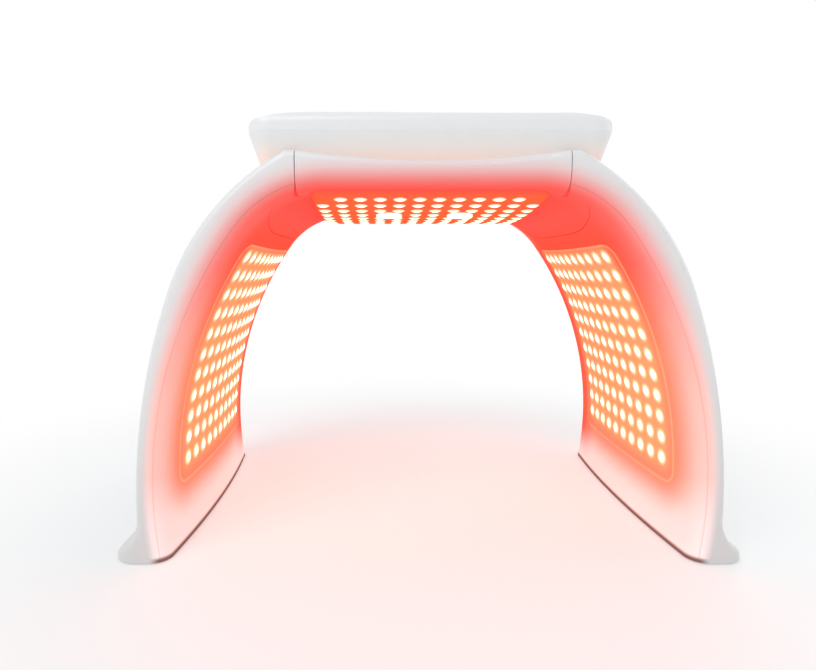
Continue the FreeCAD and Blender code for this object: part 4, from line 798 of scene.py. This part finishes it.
# %% Fluted cap
RIBS = 60
RIB_DEEP = 0.0009
PLUG_RADIUS = 0.015
FLUTES_TOP = 0.72
DISH_RISE = 0.80
CAP_RINGS = ((0.86, 0.962), (0.96, 0.945), (1.0, 0.915), (1.0, 0.84), (0.93, 0.81), (DISH_RISE, 0.77))
cap_low, cap_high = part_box("tank_cap")
cap_middle = middle_of((cap_low, cap_high))
cap_radius = (cap_high[0] - cap_low[0]) / 2
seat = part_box("tank_seal")[1][2]
rise = cap_high[2] - seat
shape = bmesh.new()
cap_foot = Matrix.Translation((cap_middle[0], cap_middle[1], seat))
start = bmesh.ops.create_circle(shape, segments=2 * RIBS, radius=cap_radius, matrix=cap_foot)
for place, corner in enumerate(start["verts"]):
    share = 1 - RIB_DEEP / cap_radius * (place % 2)
    corner.co.x = cap_middle[0] + (corner.co.x - cap_middle[0]) * share
    corner.co.y = cap_middle[1] + (corner.co.y - cap_middle[1]) * share
foot = list(shape.edges)
ring = raise_ring(shape, foot, cap_middle, seat + FLUTES_TOP * rise)
for height, share in CAP_RINGS:
    ring = raise_ring(shape, ring, cap_middle, seat + height * rise, cap_radius * share)
bmesh.ops.contextual_create(shape, geom=ring)
ring = raise_ring(shape, foot, cap_middle, seat, PLUG_RADIUS)
ring = raise_ring(shape, ring, cap_middle, cap_low[2], PLUG_RADIUS)
bmesh.ops.contextual_create(shape, geom=ring)
filler_cap = add_piece("filler_cap", shape, cap_finish, "tank_cap", "cap", "tank_cap")
print("filler cap", len(filler_cap.data.polygons), "faces")

# %% Water mark on the cap
DROP_RADIUS = 0.0042
DROP_TIP = 0.0115
DROP_RISE = 0.0003
DROP_TAPER = 0.55
DROP_STEPS = 24
dish = seat + DISH_RISE * rise
drop_at = Matrix.Translation((cap_middle[0], cap_middle[1] - DROP_RADIUS / 2, dish))
shape = bmesh.new()
drop = bmesh.ops.create_circle(shape, cap_ends=True, segments=DROP_STEPS, radius=DROP_RADIUS, matrix=drop_at)
for corner in drop["verts"]:
    lift = (corner.co.y - cap_middle[1] + DROP_RADIUS / 2) / DROP_RADIUS
    if lift > 0:
        corner.co.x = cap_middle[0] + (corner.co.x - cap_middle[0]) * (1 - DROP_TAPER * lift)
        corner.co.y += (DROP_TIP - DROP_RADIUS) * lift ** 3
raised = bmesh.ops.extrude_face_region(shape, geom=list(shape.faces))["geom"]
top_corners = [part for part in raised if isinstance(part, bmesh.types.BMVert)]
bmesh.ops.translate(shape, vec=(0, 0, DROP_RISE), verts=top_corners)
add_piece("cap_mark", shape, mark_finish, "tank_cap", "cap")
print("water mark on the cap")

# %% [markdown]
# ## Keys and their marks
# Five round keys press straight down. A real key is dished so that a fingertip finds it, and has a lip
# below the cover that keeps it in. Plain discs would do from afar, but the dish and the broken edge catch
# the light, so each key is one spun outline. The marks are printed on the real keys; here they are thin
# raised bars and arcs, so that they stay sharp at any distance.

# %% Keys
KEY_RADIUS = 0.0075
KEY_STEPS = 32
COVER_WALL = 0.0025
LIP_THICK = 0.0012
LIP_PLAY = 0.00005
KEY_DISH = ((1.0, 0.0006), (0.98, 0.0002), (0.93, 0.0), (0.84, 0.00005), (0.5, 0.0004), (0.0, 0.0005))
cover_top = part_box("head_cover")[1][2]
lip_top = cover_top - COVER_WALL - LIP_PLAY
lip_low = lip_top - LIP_THICK
key_names = [name for name in nodes if name.startswith("key_") and name != "key_board"]
for name in key_names:
    low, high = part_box(name)
    lip = (high[0] - low[0]) / 2
    top = high[2]
    outline = [(0, low[2]), (KEY_RADIUS, low[2]), (KEY_RADIUS, lip_low)]
    outline += [(lip, lip_low), (lip, lip_top), (KEY_RADIUS, lip_top)]
    outline += [(KEY_RADIUS * share, top - drop) for share, drop in KEY_DISH]
    shape = bmesh.new()
    turn(shape, outline, middle_of((low, high)), KEY_STEPS)
    add_piece(name + "_cap", shape, key_finish, name, "key", name)
print("keys", len(key_names))

# %% Bars and arcs
EDGE_BREAK = 0.00008
ARC_STEPS = 20


def bar(shape, middle, length, width, low, high, turned=0.0):
    """Flat bar about a place, turned about the upright axis, with its edges broken."""
    spot = Matrix.Translation((middle[0], middle[1], (low + high) / 2)) @ Matrix.Rotation(turned, 4, "Z")
    spot = spot @ Matrix.Diagonal((length, width, high - low, 1))
    made = bmesh.ops.create_cube(shape, size=1.0, matrix=spot)
    edges = list({edge for corner in made["verts"] for edge in corner.link_edges})
    bmesh.ops.bevel(shape, geom=edges, offset=EDGE_BREAK, affect="EDGES", segments=1, profile=0.5,
                    material=-1)


def bow(shape, middle, radius, width, low, high, start, span):
    """Flat arc: a small upright face spun part of the way round."""
    reach = (radius - width / 2, radius + width / 2)
    spots = [(reach[0], low), (reach[1], low), (reach[1], high), (reach[0], high)]
    corners = [shape.verts.new((middle[0] + out * math.cos(start), middle[1] + out * math.sin(start), height))
               for out, height in spots]
    face = shape.faces.new(corners)
    bmesh.ops.spin(shape, geom=[face], cent=(middle[0], middle[1], 0), axis=(0, 0, 1), angle=span,
                   steps=ARC_STEPS)


print("bars and arcs ready")

# %% Marks on the keys
MARK_WIDTH = 0.0008
MARK_LENGTH = 0.0060
MARK_LOW = -0.0006
MARK_HIGH = -0.0001
POWER_RADIUS = MARK_LENGTH * 0.45
POWER_START = math.radians(125)
POWER_SPAN = math.radians(290)
STEM_UP = MARK_LENGTH * 0.36
STEM_LENGTH = MARK_LENGTH * 0.45
RAYS = 8
SUN_RADIUS = MARK_LENGTH * 0.2
RAY_OUT = MARK_LENGTH * 0.5
RAY_LENGTH = MARK_LENGTH * 0.24
WAVE_STEP = MARK_LENGTH * 0.34
WAVE_BACK = MARK_LENGTH * 0.2
WAVE_RADIUS = MARK_LENGTH * 0.3
WAVE_HALF = 0.9


def power_mark(shape, middle, low, high):
    bow(shape, middle, POWER_RADIUS, MARK_WIDTH, low, high, POWER_START, POWER_SPAN)
    bar(shape, (middle[0], middle[1] + STEM_UP), MARK_WIDTH, STEM_LENGTH, low, high)


def minus_mark(shape, middle, low, high):
    bar(shape, middle, MARK_LENGTH, MARK_WIDTH, low, high)


def plus_mark(shape, middle, low, high):
    bar(shape, middle, MARK_LENGTH, MARK_WIDTH, low, high)
    bar(shape, middle, MARK_WIDTH, MARK_LENGTH, low, high)


def light_mark(shape, middle, low, high):
    bow(shape, middle, SUN_RADIUS, MARK_WIDTH, low, high, 0.0, 2 * math.pi)
    for ray in range(RAYS):
        angle = 2 * math.pi * ray / RAYS
        spot = (middle[0] + RAY_OUT * math.cos(angle), middle[1] + RAY_OUT * math.sin(angle))
        bar(shape, spot, RAY_LENGTH, MARK_WIDTH, low, high, angle)


def mist_mark(shape, middle, low, high):
    for step in (-1, 0, 1):
        spot = (middle[0] + step * WAVE_STEP - WAVE_BACK, middle[1])
        bow(shape, spot, WAVE_RADIUS, MARK_WIDTH, low, high, -WAVE_HALF, 2 * WAVE_HALF)


MARKS = {
    "key_power": power_mark, "key_minus": minus_mark, "key_light": light_mark, "key_plus": plus_mark,
    "key_mist": mist_mark,
}
for name, draw in MARKS.items():
    low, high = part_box(name)
    shape = bmesh.new()
    draw(shape, middle_of((low, high)), high[2] + MARK_LOW, high[2] + MARK_HIGH)
    add_piece(name + "_mark", shape, mark_finish, name, "key")
print("marks", len(MARKS))

# %% [markdown]
# ## Display
# The display shows how strong the light is set. It could be a picture, but a row of bars that rise step
# by step is how such a level is often drawn, and bars are plain shapes that lie just on the smoked
# window.

# %% Level bars
LEVELS = 9
LEVELS_LIT = 6
BAR_THICK = 0.00012
BARS_SPAN = 0.78
BARS_INSET = 0.17
BAR_FIRST = 0.16
BAR_GAIN = 0.5
BAR_SHARE = 0.6
low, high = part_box("display_window")
width = high[0] - low[0]
depth = high[1] - low[1]
step = width * BARS_SPAN / LEVELS
states = (("lit", level_finish, 0, LEVELS_LIT), ("dim", mark_finish, LEVELS_LIT, LEVELS))
for state, finish, first, last in states:
    shape = bmesh.new()
    for place in range(first, last):
        tall = depth * (BAR_FIRST + BAR_GAIN * place / (LEVELS - 1))
        spot = ((place - (LEVELS - 1) / 2) * step, low[1] + depth * BARS_INSET + tall / 2)
        bar(shape, spot, step * BAR_SHARE, tall, high[2], high[2] + BAR_THICK)
    add_piece("level_bars_" + state, shape, finish, "centre", "display")
print("level bars", LEVELS)

# %% [markdown]
# ## Mist nozzles
# Mist leaves the ceiling through two rings between the lamps. The ring has a rounded lip on the outside
# and a funnel towards the hole, and a fine perforated plate sits inside it. The ring is one spun outline;
# the holes in the plate are far too small to cut, so its finish draws them as dark pores of painted
# shade with a dim red glow. Between the pores the plate is painted warm and glows more, as light from the
# lamps.

# %% Finish of the plates
PORE_SCALE = 640
PORE_EDGE = (0.22, 0.34)
PORE_DARK = (0.30, 0.10, 0.07, 1)
PORE_GLOW = (0.4, 0.06, 0.03, 1)
PLATE_WARM = (0.92, 0.74, 0.64, 1)
PLATE_GLOW = (1.0, 0.66, 0.48, 1)
PLATE_LIGHT = (0.3, 0.8)
PLATE_ROUGH = 0.35
# Painted shade in the pores and painted light on the plate, which glows warm between them.
plate_finish, tree, shader = start_finish("nozzle_plate")
cells = put(tree, "TexVoronoi", object_place(tree))
cells.node.inputs["Scale"].default_value = PORE_SCALE
between = ease(tree, cells.node.outputs["Distance"], *PORE_EDGE)
tree.links.new(blend_colour(tree, between, PORE_DARK, PLATE_WARM), shader.inputs["Base Color"])
tree.links.new(blend_colour(tree, between, PORE_GLOW, PLATE_GLOW), shader.inputs["Emission Color"])
tree.links.new(spread(tree, between, PLATE_LIGHT), shader.inputs["Emission Strength"])
shader.inputs["Roughness"].default_value = PLATE_ROUGH
print("plate finish ready")

# %% Nozzle rings and plates
HOLE_RADIUS = 0.007
RING_STEPS = 40
RING_LIP = ((0.0, 0.0012), (0.0003, 0.0004), (0.0010, 0.0), (0.0020, 0.0))
RING_FUNNEL = ((0.0006, 0.0006), (0.0, 0.0018))
PLATE_DEEP = 0.0036
PLATE_THICK = 0.0006
PLATE_FLAT = 0.6
PLATE_DISH = 0.0004
PLATE_STEPS = 32
for side in ("left", "right"):
    low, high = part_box("nozzle_ring_" + side)
    outer = (high[0] - low[0]) / 2
    middle = middle_of((low, high))
    outline = [(HOLE_RADIUS, high[2]), (outer, high[2])]
    outline += [(outer - step, low[2] + lift) for step, lift in RING_LIP]
    outline += [(HOLE_RADIUS + step, low[2] + lift) for step, lift in RING_FUNNEL]
    outline += [(HOLE_RADIUS, high[2])]
    shape = bmesh.new()
    turn(shape, outline, middle, RING_STEPS)
    add_piece("nozzle_lip_" + side, shape, nozzle_finish, "centre", "nozzle", "nozzle_ring_" + side)
    base = low[2] + PLATE_DEEP
    outline = [(0, base), (HOLE_RADIUS * PLATE_FLAT, base), (HOLE_RADIUS, base + PLATE_DISH)]
    outline += [(HOLE_RADIUS, base + PLATE_THICK), (0, base + PLATE_THICK)]
    shape = bmesh.new()
    turn(shape, outline, middle, PLATE_STEPS)
    add_piece("nozzle_plate_" + side, shape, plate_finish, "centre", "nozzle")
print("nozzles with plates")

# %% [markdown]
# ## Foot pads
# Three rubber pads sit in the base of each wing. Rubber feet are moulded with rings so that they grip,
# and the spun outline carries two grooves. All three on a side are one piece, because they move with the
# same wing.

# %% Foot pads
GROOVES = (0.0026, 0.0052)
GROOVE_HALF = 0.0004
GROOVE_DEEP = 0.0005
PAD_BREAK = 0.0004
PAD_STEPS = 32
for side in ("left", "right"):
    node = "foot_pads_" + side
    low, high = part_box(node)
    across = (low[0] + high[0]) / 2
    radius = (high[0] - low[0]) / 2
    outline = [(0, low[2])]
    for groove in GROOVES:
        outline += [(groove - GROOVE_HALF, low[2]), (groove - GROOVE_HALF / 2, low[2] + GROOVE_DEEP)]
        outline += [(groove + GROOVE_HALF / 2, low[2] + GROOVE_DEEP), (groove + GROOVE_HALF, low[2])]
    outline += [(radius - PAD_BREAK, low[2]), (radius, low[2] + PAD_BREAK), (radius, high[2]), (0, high[2])]
    shape = bmesh.new()
    for along in (low[1] + radius, (low[1] + high[1]) / 2, high[1] - radius):
        turn(shape, outline, (across, along), PAD_STEPS)
    add_piece("grip_pads_" + side, shape, rubber_finish, "wing_" + side, "rubber", node)
print("foot pads on both wings")
